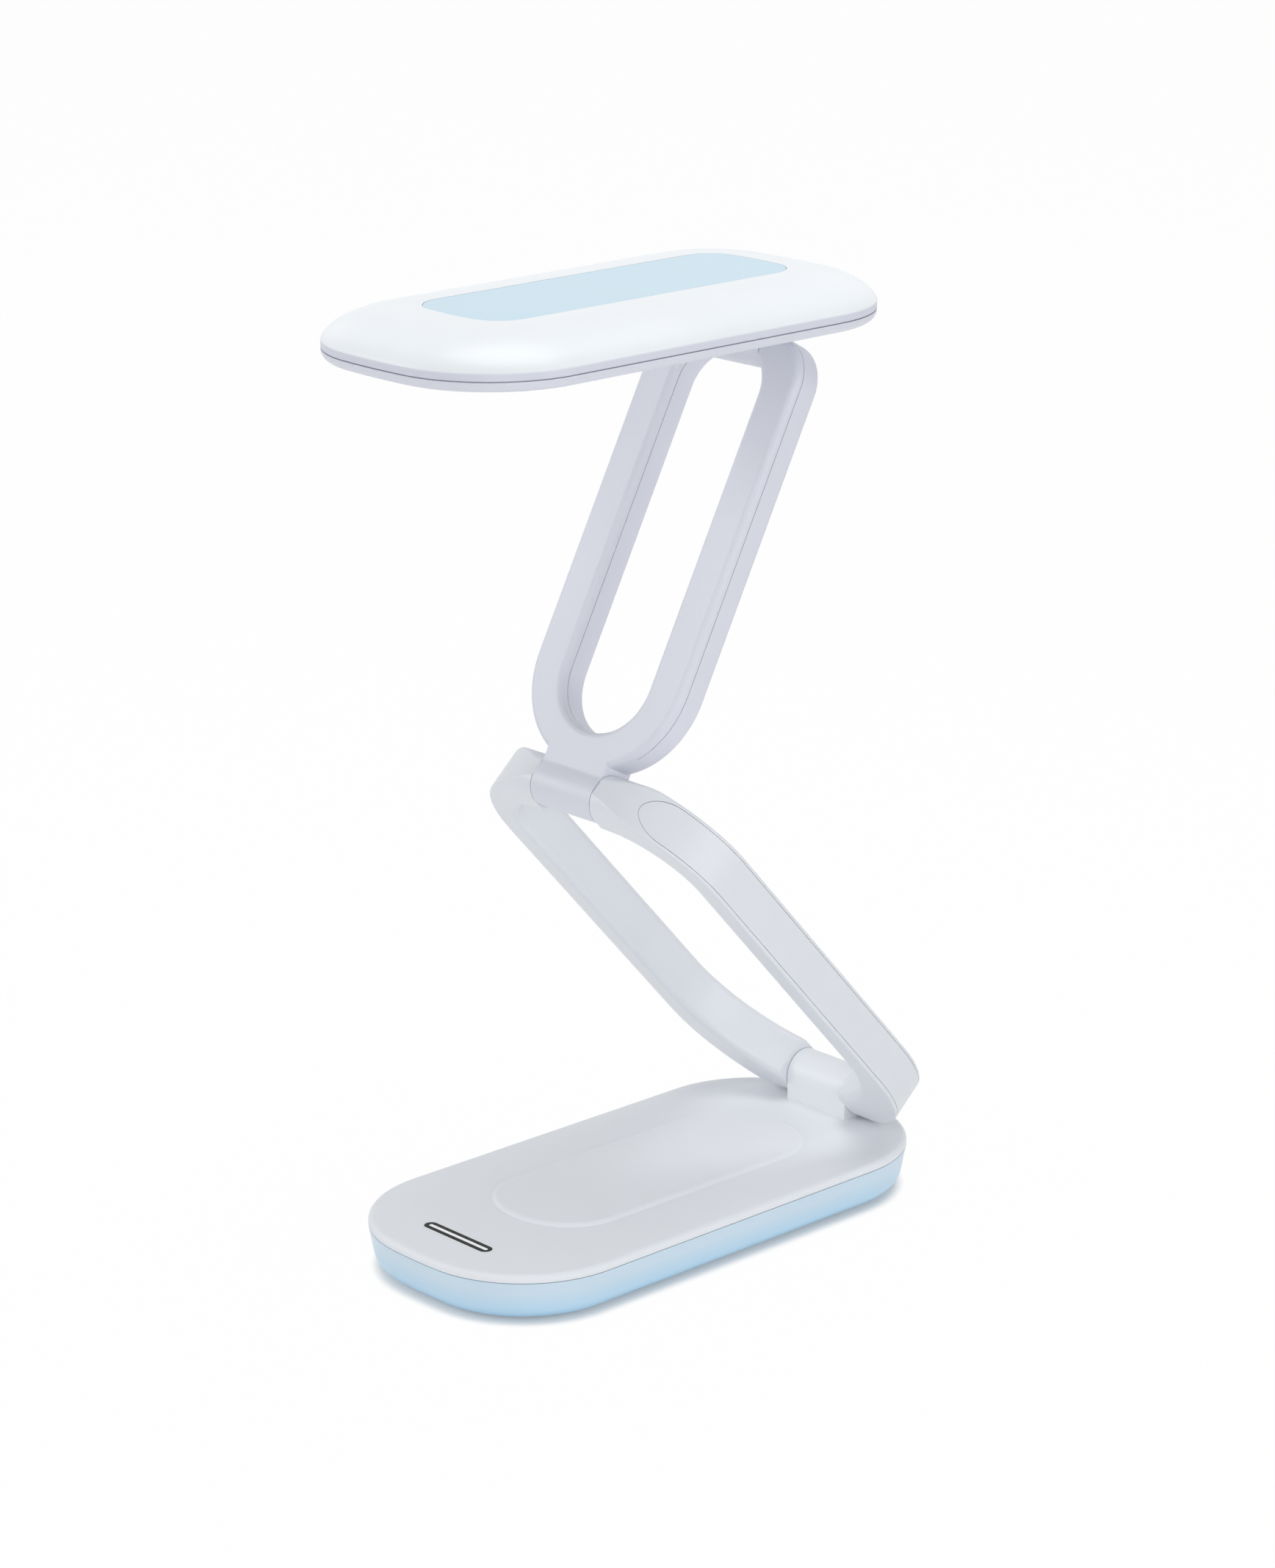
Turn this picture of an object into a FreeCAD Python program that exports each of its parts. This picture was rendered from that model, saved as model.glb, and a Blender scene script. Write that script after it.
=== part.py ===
import FreeCAD, Part
import math
import os
import re
import Sketcher
from FreeCAD import Vector

# Folding LED desk lamp, millimetres, +Z up.
# The origin is the centre of the base's footprint on the table: -Y is the front of the base with its
# touch bar, +Y is the rear with the base hinge, and every hinge axis runs along X.
# The lamp stands half open: the lower arm leans forward, the upper arm leans back and the head is level.

doc = FreeCAD.newDocument("FoldingDeskLamp")

sizes = {
    # Base: an oblong with gently bowed ends
    "base_length": 187.0,
    "base_width": 90.0,
    "base_end_radius": 200.0,
    "base_corner_radius": 37.0,
    "base_seam_height": 14.0,
    "base_rim_height": 16.6,
    "seam_gap": 0.25,
    "seam_step": 0.9,
    "rim_edge_radius": 1.7,
    "shell_wall": 2.2,
    "shell_floor": 2.0,
    "shell_taper": 10.0,
    "shell_edge_radius": 6.5,
    "shell_inner_radius": 4.0,
    "cover_plug_depth": 1.6,
    "fit_gap": 0.3,
    "overcut": 1.0,
    "surround_margin": 20.0,
    # Dish and island pressed into the top of the base
    "dish_width": 68.0,
    "dish_front": 65.0,
    "dish_rear": 74.5,
    "dish_end_radius": 60.0,
    "dish_corner_radius": 28.0,
    "dish_depth": 2.0,
    "dish_side_run": 6.0,
    "dish_front_run": 5.0,
    "dish_rear_run": 11.0,
    "island_width": 50.0,
    "island_front": 56.0,
    "island_rear": 62.5,
    "island_end_radius": 30.0,
    "island_corner_radius": 22.0,
    "island_rise": 3.0,
    "island_run": 3.4,
    # Touch bar
    "touch_length": 27.0,
    "touch_width": 3.8,
    "touch_rise": 1.3,
    "touch_seat": 1.5,
    "touch_setback": 17.5,
    "touch_round": 1.24,
    "touch_contact_radius": 1.0,
    # Rubber pad and base screws
    "pad_height": 0.8,
    "pad_recess": 0.8,
    "pad_side_margin": 19.0,
    "pad_end_margin": 18.0,
    "pad_end_radius": 60.0,
    "pad_corner_radius": 20.0,
    "pad_round": 0.4,
    "base_screw_inset": 12.0,
    "base_screw_pitch_y": 92.0,
    "post_radius": 3.5,
    "post_height": 7.0,
    "screw_radius": 1.25,
    "screw_head_radius": 2.5,
    "screw_head_height": 1.5,
    "screw_length": 8.0,
    "pilot_depth": 3.5,
    "thread_gap": 0.02,
    "recess_length": 1.2,
    "recess_width": 0.3,
    "recess_depth": 0.5,
    "small_screw_radius": 1.0,
    "small_head_radius": 1.9,
    "small_head_height": 1.2,
    "small_screw_length": 5.2,
    "small_pilot_depth": 3.8,
    "small_post_height": 5.4,
    # Inside the base
    "board_thickness": 1.6,
    "control_board_width": 44.0,
    "control_board_depth": 25.0,
    "control_board_front": 82.0,
    "board_post_radius": 2.4,
    "board_post_inset": 4.0,
    "chip_width": 7.0,
    "chip_height": 1.1,
    "chip_x": 11.5,
    "coil_width": 4.0,
    "coil_x": 10.0,
    "can_radius": 2.0,
    "can_height": 2.2,
    "can_x": 16.0,
    "chip_setback": 9.0,
    "charge_board_width": 22.0,
    "charge_board_depth": 16.0,
    "charge_board_gap": 2.4,
    "socket_width": 7.6,
    "socket_height": 2.8,
    "socket_depth": 5.6,
    "socket_wall": 0.4,
    "socket_overhang": 0.6,
    "tongue_thickness": 0.6,
    "counterweight_width": 56.0,
    "counterweight_length": 78.0,
    "counterweight_thickness": 3.0,
    "battery_width": 44.0,
    "battery_length": 62.0,
    "battery_thickness": 5.6,
    # Hinges
    "hinge_setback": 10.1,
    "hinge_height": 24.4,
    "knuckle_width": 25.8,
    "knuckle_gap": 0.3,
    "barrel_radius": 7.5,
    "pin_radius": 3.0,
    "pin_length": 42.0,
    "pin_gap": 0.05,
    "washer_radius": 5.4,
    "washer_thickness": 1.0,
    "washer_gap": 0.1,
    # Lower arm: two legs that make a long ring
    "lower_length": 164.2,
    "lower_angle": 132.1,
    "lower_width": 94.0,
    "lower_leg_width": 9.6,
    "lower_end_radius": 180.0,
    "lower_foot_flat": 7.0,
    "lower_elbow_flat": 11.5,
    "lower_opening_end_radius": 165.0,
    "lower_opening_foot_flat": 2.4,
    "lower_opening_elbow_flat": 15.4,
    "lower_opening_reach": 2.0,
    "lower_edge_radius": 1.0,
    "lower_inner_edge_radius": 2.4,
    "inlay_depth": 1.2,
    "inlay_margin": 1.3,
    "inlay_overrun": 2.4,
    "inlay_gap": 0.15,
    "wire_radius": 0.9,
    "wire_gap": 0.2,
    "lower_wire_angle": 30.0,
    "lower_wire_turn": 14.2,
    # Upper arm: a narrower ring that folds inside the lower one
    "upper_length": 143.2,
    "upper_angle": 62.0,
    "upper_width": 63.4,
    "upper_leg_width": 13.6,
    "upper_thickness": 11.0,
    "upper_ring_start": 6.5,
    "upper_opening_start": 17.6,
    "upper_round_swell": 2.3,
    "upper_round_flat": 2.7,
    "opening_round_swell": 1.9,
    "opening_round_flat": 1.1,
    "opening_top_radius": 40.0,
    "opening_top_flat": 5.1,
    "upper_opening_end": 2.0,
    "upper_top_radius": 90.0,
    "upper_top_corner": 14.0,
    "upper_edge_radius": 2.0,
    "upper_shell_front": 3.0,
    "upper_screw_inset": 8.8,
    "upper_screw_low_share": 0.33,
    "upper_screw_high_share": 0.72,
    "upper_screw_length": 8.2,
    "upper_pilot_depth": 1.8,
    "upper_wire_depth": 2.3,
    "upper_wire_angle": 40.0,
    "upper_seam_gap": 0.3,
    "upper_seam_depth": 0.5,
    "head_barrel_radius": 6.3,
    "head_pin_radius": 2.2,
    "head_pin_length": 38.0,
    "head_washer_radius": 4.2,
    # Head
    "head_length": 175.6,
    "head_width": 90.6,
    "head_end_radius": 200.0,
    "head_corner_radius": 34.5,
    "head_reach": 56.1,
    "head_underside": 9.8,
    "head_seam": 13.1,
    "head_seam_gap": 0.4,
    "head_bezel_radius": 2.8,
    "head_lip": 2.2,
    "head_dome_height": 8.9,
    "head_dome_run": 23.0,
    "head_wall": 2.2,
    "head_roof": 3.0,
    "panel_end_border": 27.3,
    "panel_side_border": 26.05,
    "panel_end_radius": 100.0,
    "panel_corner_radius": 11.0,
    "panel_offset": 1.4,
    "panel_depth": 1.2,
    "panel_gap": 0.15,
    "panel_round": 0.3,
    # Light inside the head
    "lens_front_border": 11.8,
    "lens_rear_border": 46.8,
    "lens_side_border": 12.3,
    "lens_end_radius": 150.0,
    "lens_corner_radius": 22.0,
    "lens_flange": 1.6,
    "lens_flange_thickness": 1.0,
    "lens_inset": 0.4,
    "lens_ledge_drop": 0.5,
    "reflector_height": 4.0,
    "reflector_wall": 2.0,
    "reflector_inset": 0.4,
    "reflector_taper": 20.0,
    "led_board_margin": 1.0,
    "led_pitch_x": 18.0,
    "led_pitch_y": 13.0,
    "led_width": 2.8,
    "led_length": 3.5,
    "led_height": 0.8,
    "head_screw_inset": 6.8,
    "head_screw_setback": 35.8,
    "head_post_radius": 2.6,
}

sheet = doc.addObject("Spreadsheet::Sheet", "Sizes")
for row, (alias, number) in enumerate(sizes.items(), start=1):
    sheet.set(f"A{row}", alias)
    sheet.set(f"B{row}", str(number))
    sheet.setAlias(f"B{row}", alias)
doc.recompute()


def linked(expression):
    """The expression with every size's alias pointed at the sheet."""
    return re.sub(r"[a-z]\w*", lambda m: f"Sizes.{m[0]}" if m[0] in sizes else m[0], expression)


def value(expression):
    """The number that an expression gives with the sizes as they are."""
    return float(sheet.evalExpression(linked(expression)))


def bind(feature, prop, expression):
    """Drive a property of a feature from the sheet."""
    feature.setExpression(prop, linked(expression))


# Places worked out from the sizes
base_hinge_y = "(base_length / 2 - hinge_setback)"
elbow_y = f"({base_hinge_y} + lower_length * cos(lower_angle * 1 deg))"
elbow_z = "(hinge_height + lower_length * sin(lower_angle * 1 deg))"
head_hinge_y = f"({elbow_y} + upper_length * cos(upper_angle * 1 deg))"
head_hinge_z = f"({elbow_z} + upper_length * sin(upper_angle * 1 deg))"
cavity_floor = "(pad_height + shell_floor)"
plug_height = "(base_seam_height - cover_plug_depth)"
board_top = "(pad_height + post_height + board_thickness)"

frames = {
    "base": None,
    "lower": f"placement(vector(0; {base_hinge_y}; hinge_height); rotation(vector(1; 0; 0); lower_angle))",
    "upper": f"placement(vector(0; {elbow_y}; {elbow_z}); rotation(vector(1; 0; 0); upper_angle))",
    "head": f"placement(vector(0; {head_hinge_y}; {head_hinge_z}); rotation(vector(1; 0; 0); 0))",
}


# ---- sketches ----

def new_sketch(body, name, plane="XY_Plane", offset="0"):
    """An empty sketch on one of the body's own origin planes, moved along its normal."""
    sketch = body.newObject("Sketcher::SketchObject", name)
    support = [f for f in body.Origin.OriginFeatures if f.Role == plane][0]
    sketch.AttachmentSupport = (support, [""])
    sketch.MapMode = "FlatFace"
    if offset != "0":
        bind(sketch, "AttachmentOffset.Base.z", offset)
    return sketch


def dimension(sketch, kind, *args):
    """Add a dimension whose last argument is an expression, and bind it."""
    *where, expression = args
    index = sketch.addConstraint(Sketcher.Constraint(kind, *where, value(expression)))
    bind(sketch, f"Constraints[{index}]", expression)


def locate(sketch, geometry, point, x, y):
    """Hold a point at x, y from the sketch's origin."""
    for kind, axis, where in (("DistanceX", -2, x), ("DistanceY", -1, y)):
        if where == "0":
            sketch.addConstraint(Sketcher.Constraint("PointOnObject", geometry, point, axis))
        else:
            dimension(sketch, kind, -1, 1, geometry, point, where)


def draw_circle(sketch, x, y, radius):
    centre = Vector(value(x), value(y), 0)
    circle = sketch.addGeometry(Part.Circle(centre, Vector(0, 0, 1), value(radius)))
    locate(sketch, circle, 3, x, y)
    dimension(sketch, "Radius", circle, radius)


def draw_loop(sketch, points):
    """Straight lines round a list of (x, y) expressions, each corner held in place."""
    corners = [Vector(value(x), value(y), 0) for x, y in points]
    count = len(corners)
    first = sketch.GeometryCount
    for i in range(count):
        sketch.addGeometry(Part.LineSegment(corners[i], corners[(i + 1) % count]))
    for i in range(count):
        following = first + (i + 1) % count
        sketch.addConstraint(Sketcher.Constraint("Coincident", first + i, 2, following, 1))
        locate(sketch, first + i, 1, *points[i])


def draw_rectangle(sketch, left, right, low, high):
    draw_loop(sketch, [(left, low), (right, low), (right, high), (left, high)])


def draw_pill(sketch, start, stop, radius, y="0"):
    """A pill along X, between two half rounds whose centres are at start and stop."""
    near, far, r, middle = value(start), value(stop), value(radius), value(y)
    up = Vector(0, 0, 1)
    first = sketch.addGeometry(Part.LineSegment(Vector(near, middle - r, 0), Vector(far, middle - r, 0)))
    sketch.addGeometry(Part.ArcOfCircle(
        Part.Circle(Vector(far, middle, 0), up, r), -math.pi / 2, math.pi / 2))
    sketch.addGeometry(Part.LineSegment(Vector(far, middle + r, 0), Vector(near, middle + r, 0)))
    sketch.addGeometry(Part.ArcOfCircle(
        Part.Circle(Vector(near, middle, 0), up, r), math.pi / 2, 3 * math.pi / 2))
    for i in range(4):
        sketch.addConstraint(Sketcher.Constraint("Tangent", first + i, 2, first + (i + 1) % 4, 1))
    locate(sketch, first + 1, 3, stop, y)
    if start == "0":
        sketch.addConstraint(Sketcher.Constraint("PointOnObject", first + 3, 3, -2))
    else:
        dimension(sketch, "DistanceX", -1, 1, first + 3, 3, start)
    dimension(sketch, "Radius", first + 1, radius)


def draw_barrel(sketch, radius, foot, y="0", z="0"):
    """A half round over a block: the side view of a hinge knuckle, with its foot at the given height."""
    r, cy, cz, low = value(radius), value(y), value(z), value(foot)
    start = 0 if low < cz else math.pi
    arc = sketch.addGeometry(Part.ArcOfCircle(
        Part.Circle(Vector(cy, cz, 0), Vector(0, 0, 1), r), start, start + math.pi))
    left, right = (cy - r, cy + r) if low < cz else (cy + r, cy - r)
    sketch.addGeometry(Part.LineSegment(Vector(left, cz, 0), Vector(left, low, 0)))
    sketch.addGeometry(Part.LineSegment(Vector(left, low, 0), Vector(right, low, 0)))
    sketch.addGeometry(Part.LineSegment(Vector(right, low, 0), Vector(right, cz, 0)))
    sketch.addConstraint(Sketcher.Constraint("Tangent", arc, 2, arc + 1, 1))
    sketch.addConstraint(Sketcher.Constraint("Coincident", arc + 1, 2, arc + 2, 1))
    sketch.addConstraint(Sketcher.Constraint("Coincident", arc + 2, 2, arc + 3, 1))
    sketch.addConstraint(Sketcher.Constraint("Tangent", arc + 3, 2, arc, 1))
    sketch.addConstraint(Sketcher.Constraint("Vertical", arc + 1))
    sketch.addConstraint(Sketcher.Constraint("Horizontal", arc + 2))
    locate(sketch, arc, 3, y, z)
    dimension(sketch, "Radius", arc, radius)
    dimension(sketch, "DistanceY", -1, 1, arc + 2, 1, foot)


def draw_outline(sketch, width, low, high, low_end, high_end=None):
    """An oblong along Y: straight sides, and ends made of a wide arc between two corner arcs.

    Each end is (end radius, corner radius), and low and high are the y of the two tips.
    """
    half = value(width) / 2
    up = Vector(0, 0, 1)
    first = sketch.GeometryCount
    ends = []
    for sign, tip, (end_radius, corner_radius) in ((1, high, high_end or low_end), (-1, low, low_end)):
        wide, tight = value(end_radius), value(corner_radius)
        end_y = value(tip) - sign * wide
        rise = math.sqrt((wide - tight) ** 2 - (half - tight) ** 2)
        ends.append((end_y, end_y + sign * rise, wide, tight, math.atan2(rise, half - tight)))
    (high_y, high_corner, high_wide, high_tight, high_swing) = ends[0]
    (low_y, low_corner, low_wide, low_tight, low_swing) = ends[1]

    def arc(x, y, radius, start, stop):
        sketch.addGeometry(Part.ArcOfCircle(Part.Circle(Vector(x, y, 0), up, radius), start, stop))

    sketch.addGeometry(Part.LineSegment(Vector(half, low_corner, 0), Vector(half, high_corner, 0)))
    arc(half - high_tight, high_corner, high_tight, 0, high_swing)
    arc(0, high_y, high_wide, high_swing, math.pi - high_swing)
    arc(high_tight - half, high_corner, high_tight, math.pi - high_swing, math.pi)
    sketch.addGeometry(Part.LineSegment(Vector(-half, high_corner, 0), Vector(-half, low_corner, 0)))
    arc(low_tight - half, low_corner, low_tight, math.pi, math.pi + low_swing)
    arc(0, low_y, low_wide, math.pi + low_swing, 2 * math.pi - low_swing)
    arc(half - low_tight, low_corner, low_tight, 2 * math.pi - low_swing, 2 * math.pi)
    for i in range(8):
        sketch.addConstraint(Sketcher.Constraint("Tangent", first + i, 2, first + (i + 1) % 8, 1))
    for side in (first, first + 4):
        sketch.addConstraint(Sketcher.Constraint("Vertical", side))
    dimension(sketch, "DistanceX", -1, 1, first, 1, f"({width}) / 2")
    dimension(sketch, "DistanceX", first + 4, 1, -1, 1, f"({width}) / 2")
    for end, tip, sign, radii in (
            (first + 2, high, "-", high_end or low_end), (first + 6, low, "+", low_end)):
        locate(sketch, end, 3, "0", f"({tip}) {sign} ({radii[0]})")
        dimension(sketch, "Radius", end, radii[0])
        dimension(sketch, "Radius", end - 1, radii[1])
        dimension(sketch, "Radius", end + 1, radii[1])


def inset(outline, by):
    """The same outline moved inwards: (width, low, high, low end, high end)."""
    width, low, high, low_end, high_end = outline
    closer = [tuple(f"({radius}) - ({by})" for radius in end) for end in (low_end, high_end)]
    return (f"({width}) - 2 * ({by})", f"({low}) + ({by})", f"({high}) - ({by})", *closer)


# ---- features ----

def new_body(name):
    body = doc.addObject("PartDesign::Body", name)
    body.Label = name
    return body


def pad(body, name, sketch, length, direction="up", taper="0"):
    """Pad a sketch up or down its normal, or half each way."""
    feature = body.newObject("PartDesign::Pad", name)
    feature.Profile = sketch
    bind(feature, "Length", length)
    feature.SideType = "Symmetric" if direction == "both" else "One side"
    feature.Reversed = direction == "down"
    if taper != "0":
        bind(feature, "TaperAngle", taper)
    doc.recompute()
    return feature


def pocket(body, name, sketch, length=None, direction="down", taper="0"):
    """Cut a sketch out of the body, to a depth, or right through where no length is given."""
    before = body.Shape.Volume
    feature = body.newObject("PartDesign::Pocket", name)
    feature.Profile = sketch
    if length is None:
        feature.Type = "ThroughAll"
        feature.SideType = "Symmetric"
    else:
        feature.SideType = "Symmetric" if direction == "both" else "One side"
        feature.Reversed = direction == "up"
        bind(feature, "Length", length)
    if taper != "0":
        bind(feature, "TaperAngle", taper)
    doc.recompute()
    if body.Shape.Volume >= before - 1e-6:
        raise RuntimeError(f"{name} cuts nothing")
    return feature


def loft(body, name, sections, kind="PartDesign::AdditiveLoft"):
    """Loft through outlines, each given as (height, outline)."""
    sketches = []
    for i, (height, outline) in enumerate(sections):
        sketch = new_sketch(body, f"{name}_section_{i + 1}", offset=height)
        draw_outline(sketch, *outline)
        sketches.append(sketch)
    feature = body.newObject(kind, name)
    feature.Profile = sketches[0]
    feature.Sections = sketches[1:]
    doc.recompute()
    return feature


def edges_where(shape, test):
    """The names of the edges whose middle point, tangent and box pass a test."""
    names = []
    for number, edge in enumerate(shape.Edges, start=1):
        middle = edge.valueAt((edge.FirstParameter + edge.LastParameter) / 2)
        if test(edge, middle):
            names.append(f"Edge{number}")
    return names


def fillet(body, name, radius, test):
    """Round the edges of the body's tip that pass a test."""
    base = body.Tip
    names = edges_where(base.Shape, test)
    if not names:
        raise RuntimeError(f"{name} finds no edge")
    feature = body.newObject("PartDesign::Fillet", name)
    feature.Base = (base, names)
    bind(feature, "Radius", radius)
    doc.recompute()
    return feature


def level(edge, height):
    """True where an edge lies flat at a height."""
    box = edge.BoundBox
    return abs(box.ZMin - height) < 1e-3 and abs(box.ZMax - height) < 1e-3


def boolean(kind, name, base, tool):
    """Part::Cut, Part::Fuse or Part::Common of two objects, under a label of its own."""
    result = doc.addObject(kind, name)
    result.Label = name
    result.Base = base
    result.Tool = tool
    return result


def primitive(kind, name, **properties):
    """A Part primitive whose properties are expressions."""
    solid = doc.addObject(kind, name)
    solid.Label = name
    for prop, expression in properties.items():
        bind(solid, prop.replace("_", "."), expression)
    return solid


def stand(solid, x, y, z, turn="0"):
    """Put a primitive at a place, turned about Z."""
    bind(solid, "Placement", f"placement(vector({x}; {y}; {z}); rotation(vector(0; 0; 1); {turn}))")
    return solid


def box(name, width, depth, height, x, y, z):
    """A box centred on x, that starts at y and z."""
    solid = primitive("Part::Box", name, Length=width, Width=depth, Height=height)
    return stand(solid, f"({x}) - ({width}) / 2", y, z)


def cylinder(name, radius, height, x, y, z):
    """An upright cylinder that starts at z."""
    return stand(primitive("Part::Cylinder", name, Radius=radius, Height=height), x, y, z)


def cross_cylinder(name, radius, length, y="0", z="0", x="0"):
    """A cylinder along X, centred on x."""
    solid = primitive("Part::Cylinder", name, Radius=radius, Height=length)
    place = f"vector(({x}) - ({length}) / 2; {y}; {z}); rotation(vector(0; 1; 0); 90)"
    bind(solid, "Placement", f"placement({place})")
    return solid


def group(name, solids):
    """Separate solids that share one node."""
    result = doc.addObject("Part::Compound", name)
    result.Label = name
    result.Links = solids
    return result


parts = []


def keep(part, frame="base"):
    """Put a finished sub-part in its frame and list it for export."""
    if frames[frame]:
        bind(part, "Placement", frames[frame])
    parts.append(part)
    return part


# ---- base ----

oblong_ends = ("base_end_radius", "base_corner_radius")
base_outline = ("base_width", "-base_length / 2", "base_length / 2", oblong_ends, oblong_ends)
pad_ends = ("pad_end_radius", "pad_corner_radius")
pad_outline = (
    "base_width - 2 * pad_side_margin", "pad_end_margin - base_length / 2",
    "base_length / 2 - pad_end_margin", pad_ends, pad_ends)
base_post_top = "(pad_height + post_height)"
touch_y = "(touch_setback - base_length / 2)"
board_post_x = "(control_board_width / 2 - board_post_inset)"
board_post_rows = (
    "board_post_inset - control_board_front",
    "control_board_depth - control_board_front - board_post_inset")
charge_board_rear = "(base_length / 2 - shell_wall - charge_board_gap)"
charge_post_x = "(charge_board_width / 2 - board_post_inset)"
charge_post_y = f"{charge_board_rear} - charge_board_depth + board_post_inset"


def corners(pitch_x, pitch_y, middle="0"):
    """The four corners of a rectangle of pitches, as (x, y) expressions."""
    return [
        (f"{sx}({pitch_x}) / 2", f"({middle}) {sy} ({pitch_y}) / 2")
        for sx in ("-", "") for sy in "+-"]


base_screws_at = corners("base_width - 2 * base_screw_inset", "base_screw_pitch_y")
board_posts_at = [(f"{side}{board_post_x}", y) for side in ("-", "") for y in board_post_rows]
board_posts_at += [(f"{side}{charge_post_x}", charge_post_y) for side in ("-", "")]


def circles(body, name, places, radius, offset="0"):
    """One sketch with a circle at each place."""
    sketch = new_sketch(body, name, offset=offset)
    for x, y in places:
        draw_circle(sketch, x, y, radius)
    return sketch


def base_bottom_shell():
    body = new_body("base_bottom_shell")
    rim = new_sketch(body, "shell_rim", offset="base_seam_height")
    draw_outline(rim, *base_outline)
    pad(body, "shell_form", rim, "base_seam_height - pad_height", "down", taper="-shell_taper")
    fillet(body, "shell_round", "shell_edge_radius", lambda e, m: level(e, value("pad_height")))

    mouth = new_sketch(body, "shell_mouth", offset="base_seam_height")
    draw_outline(mouth, *inset(base_outline, "shell_wall"))
    pocket(body, "shell_cavity", mouth, f"base_seam_height - {cavity_floor}", taper="-shell_taper")
    fillet(body, "shell_inner_round", "shell_inner_radius", lambda e, m: level(e, value(cavity_floor)))

    posts = circles(body, "shell_posts_plan", base_screws_at, "post_radius", cavity_floor)
    pad(body, "shell_posts", posts, f"{base_post_top} - {cavity_floor}")
    board_posts = circles(body, "board_posts_plan", board_posts_at, "board_post_radius", cavity_floor)
    pad(body, "board_posts", board_posts, f"{base_post_top} - {cavity_floor}")

    holes = circles(body, "screw_holes_plan", base_screws_at, "screw_radius + washer_gap")
    pocket(body, "screw_holes", holes)
    heads = circles(
        body, "screw_seats_plan", base_screws_at, "screw_head_radius + washer_gap", "pad_height")
    pocket(body, "screw_seats", heads, "screw_head_height + washer_gap", "up")
    seat = new_sketch(body, "pad_seat_plan", offset="pad_height")
    draw_outline(seat, *inset(pad_outline, "-washer_gap"))
    pocket(body, "pad_seat", seat, "pad_recess", "up")

    port = new_sketch(body, "port_opening", "XZ_Plane", "-base_length / 2 - overcut")
    draw_rectangle(
        port, "-socket_width / 2 - fit_gap", "socket_width / 2 + fit_gap",
        f"{board_top} - fit_gap", f"{board_top} + socket_height + fit_gap")
    pocket(body, "charging_port", port, "socket_depth + overcut", "up")
    return keep(body)


def ogee(outline, start, rise, runs, steps=4):
    """Sections of a soft slope: each moves inwards evenly while its height follows a half cosine.

    runs is how far the sides, the low tip and the high tip move in over the whole slope.
    """
    width, low, high, low_end, high_end = outline
    side, front, rear = runs
    sections = []
    for step in range(steps + 1):
        share = step / steps
        climb = f"{(1 - math.cos(math.pi * share)) / 2:.4f}"
        ends = [tuple(f"({radius}) - {share} * ({side})" for radius in end) for end in (low_end, high_end)]
        section = (
            f"({width}) - 2 * {share} * ({side})", f"({low}) + {share} * ({front})",
            f"({high}) - {share} * ({rear})", *ends)
        sections.append((f"({start}) + {climb} * ({rise})", section))
    return sections


def hinge_holes(body, name, width, pin, washer, y="0", z="0"):
    """Bore a knuckle along X for its pin and sink a washer seat into each of its sides."""
    bore = new_sketch(body, f"{name}_bore_plan", "YZ_Plane")
    draw_circle(bore, y, z, f"{pin} + pin_gap")
    pocket(body, f"{name}_bore", bore, f"({width}) + overcut", "both")
    half = f"({width}) / 2"
    for label, offset, direction in (("right", half, "down"), ("left", f"-{half}", "up")):
        seat = new_sketch(body, f"{name}_{label}_seat_plan", "YZ_Plane", offset)
        draw_circle(seat, y, z, f"{washer} + washer_gap")
        pocket(body, f"{name}_{label}_seat", seat, "washer_thickness + washer_gap", direction)


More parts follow.
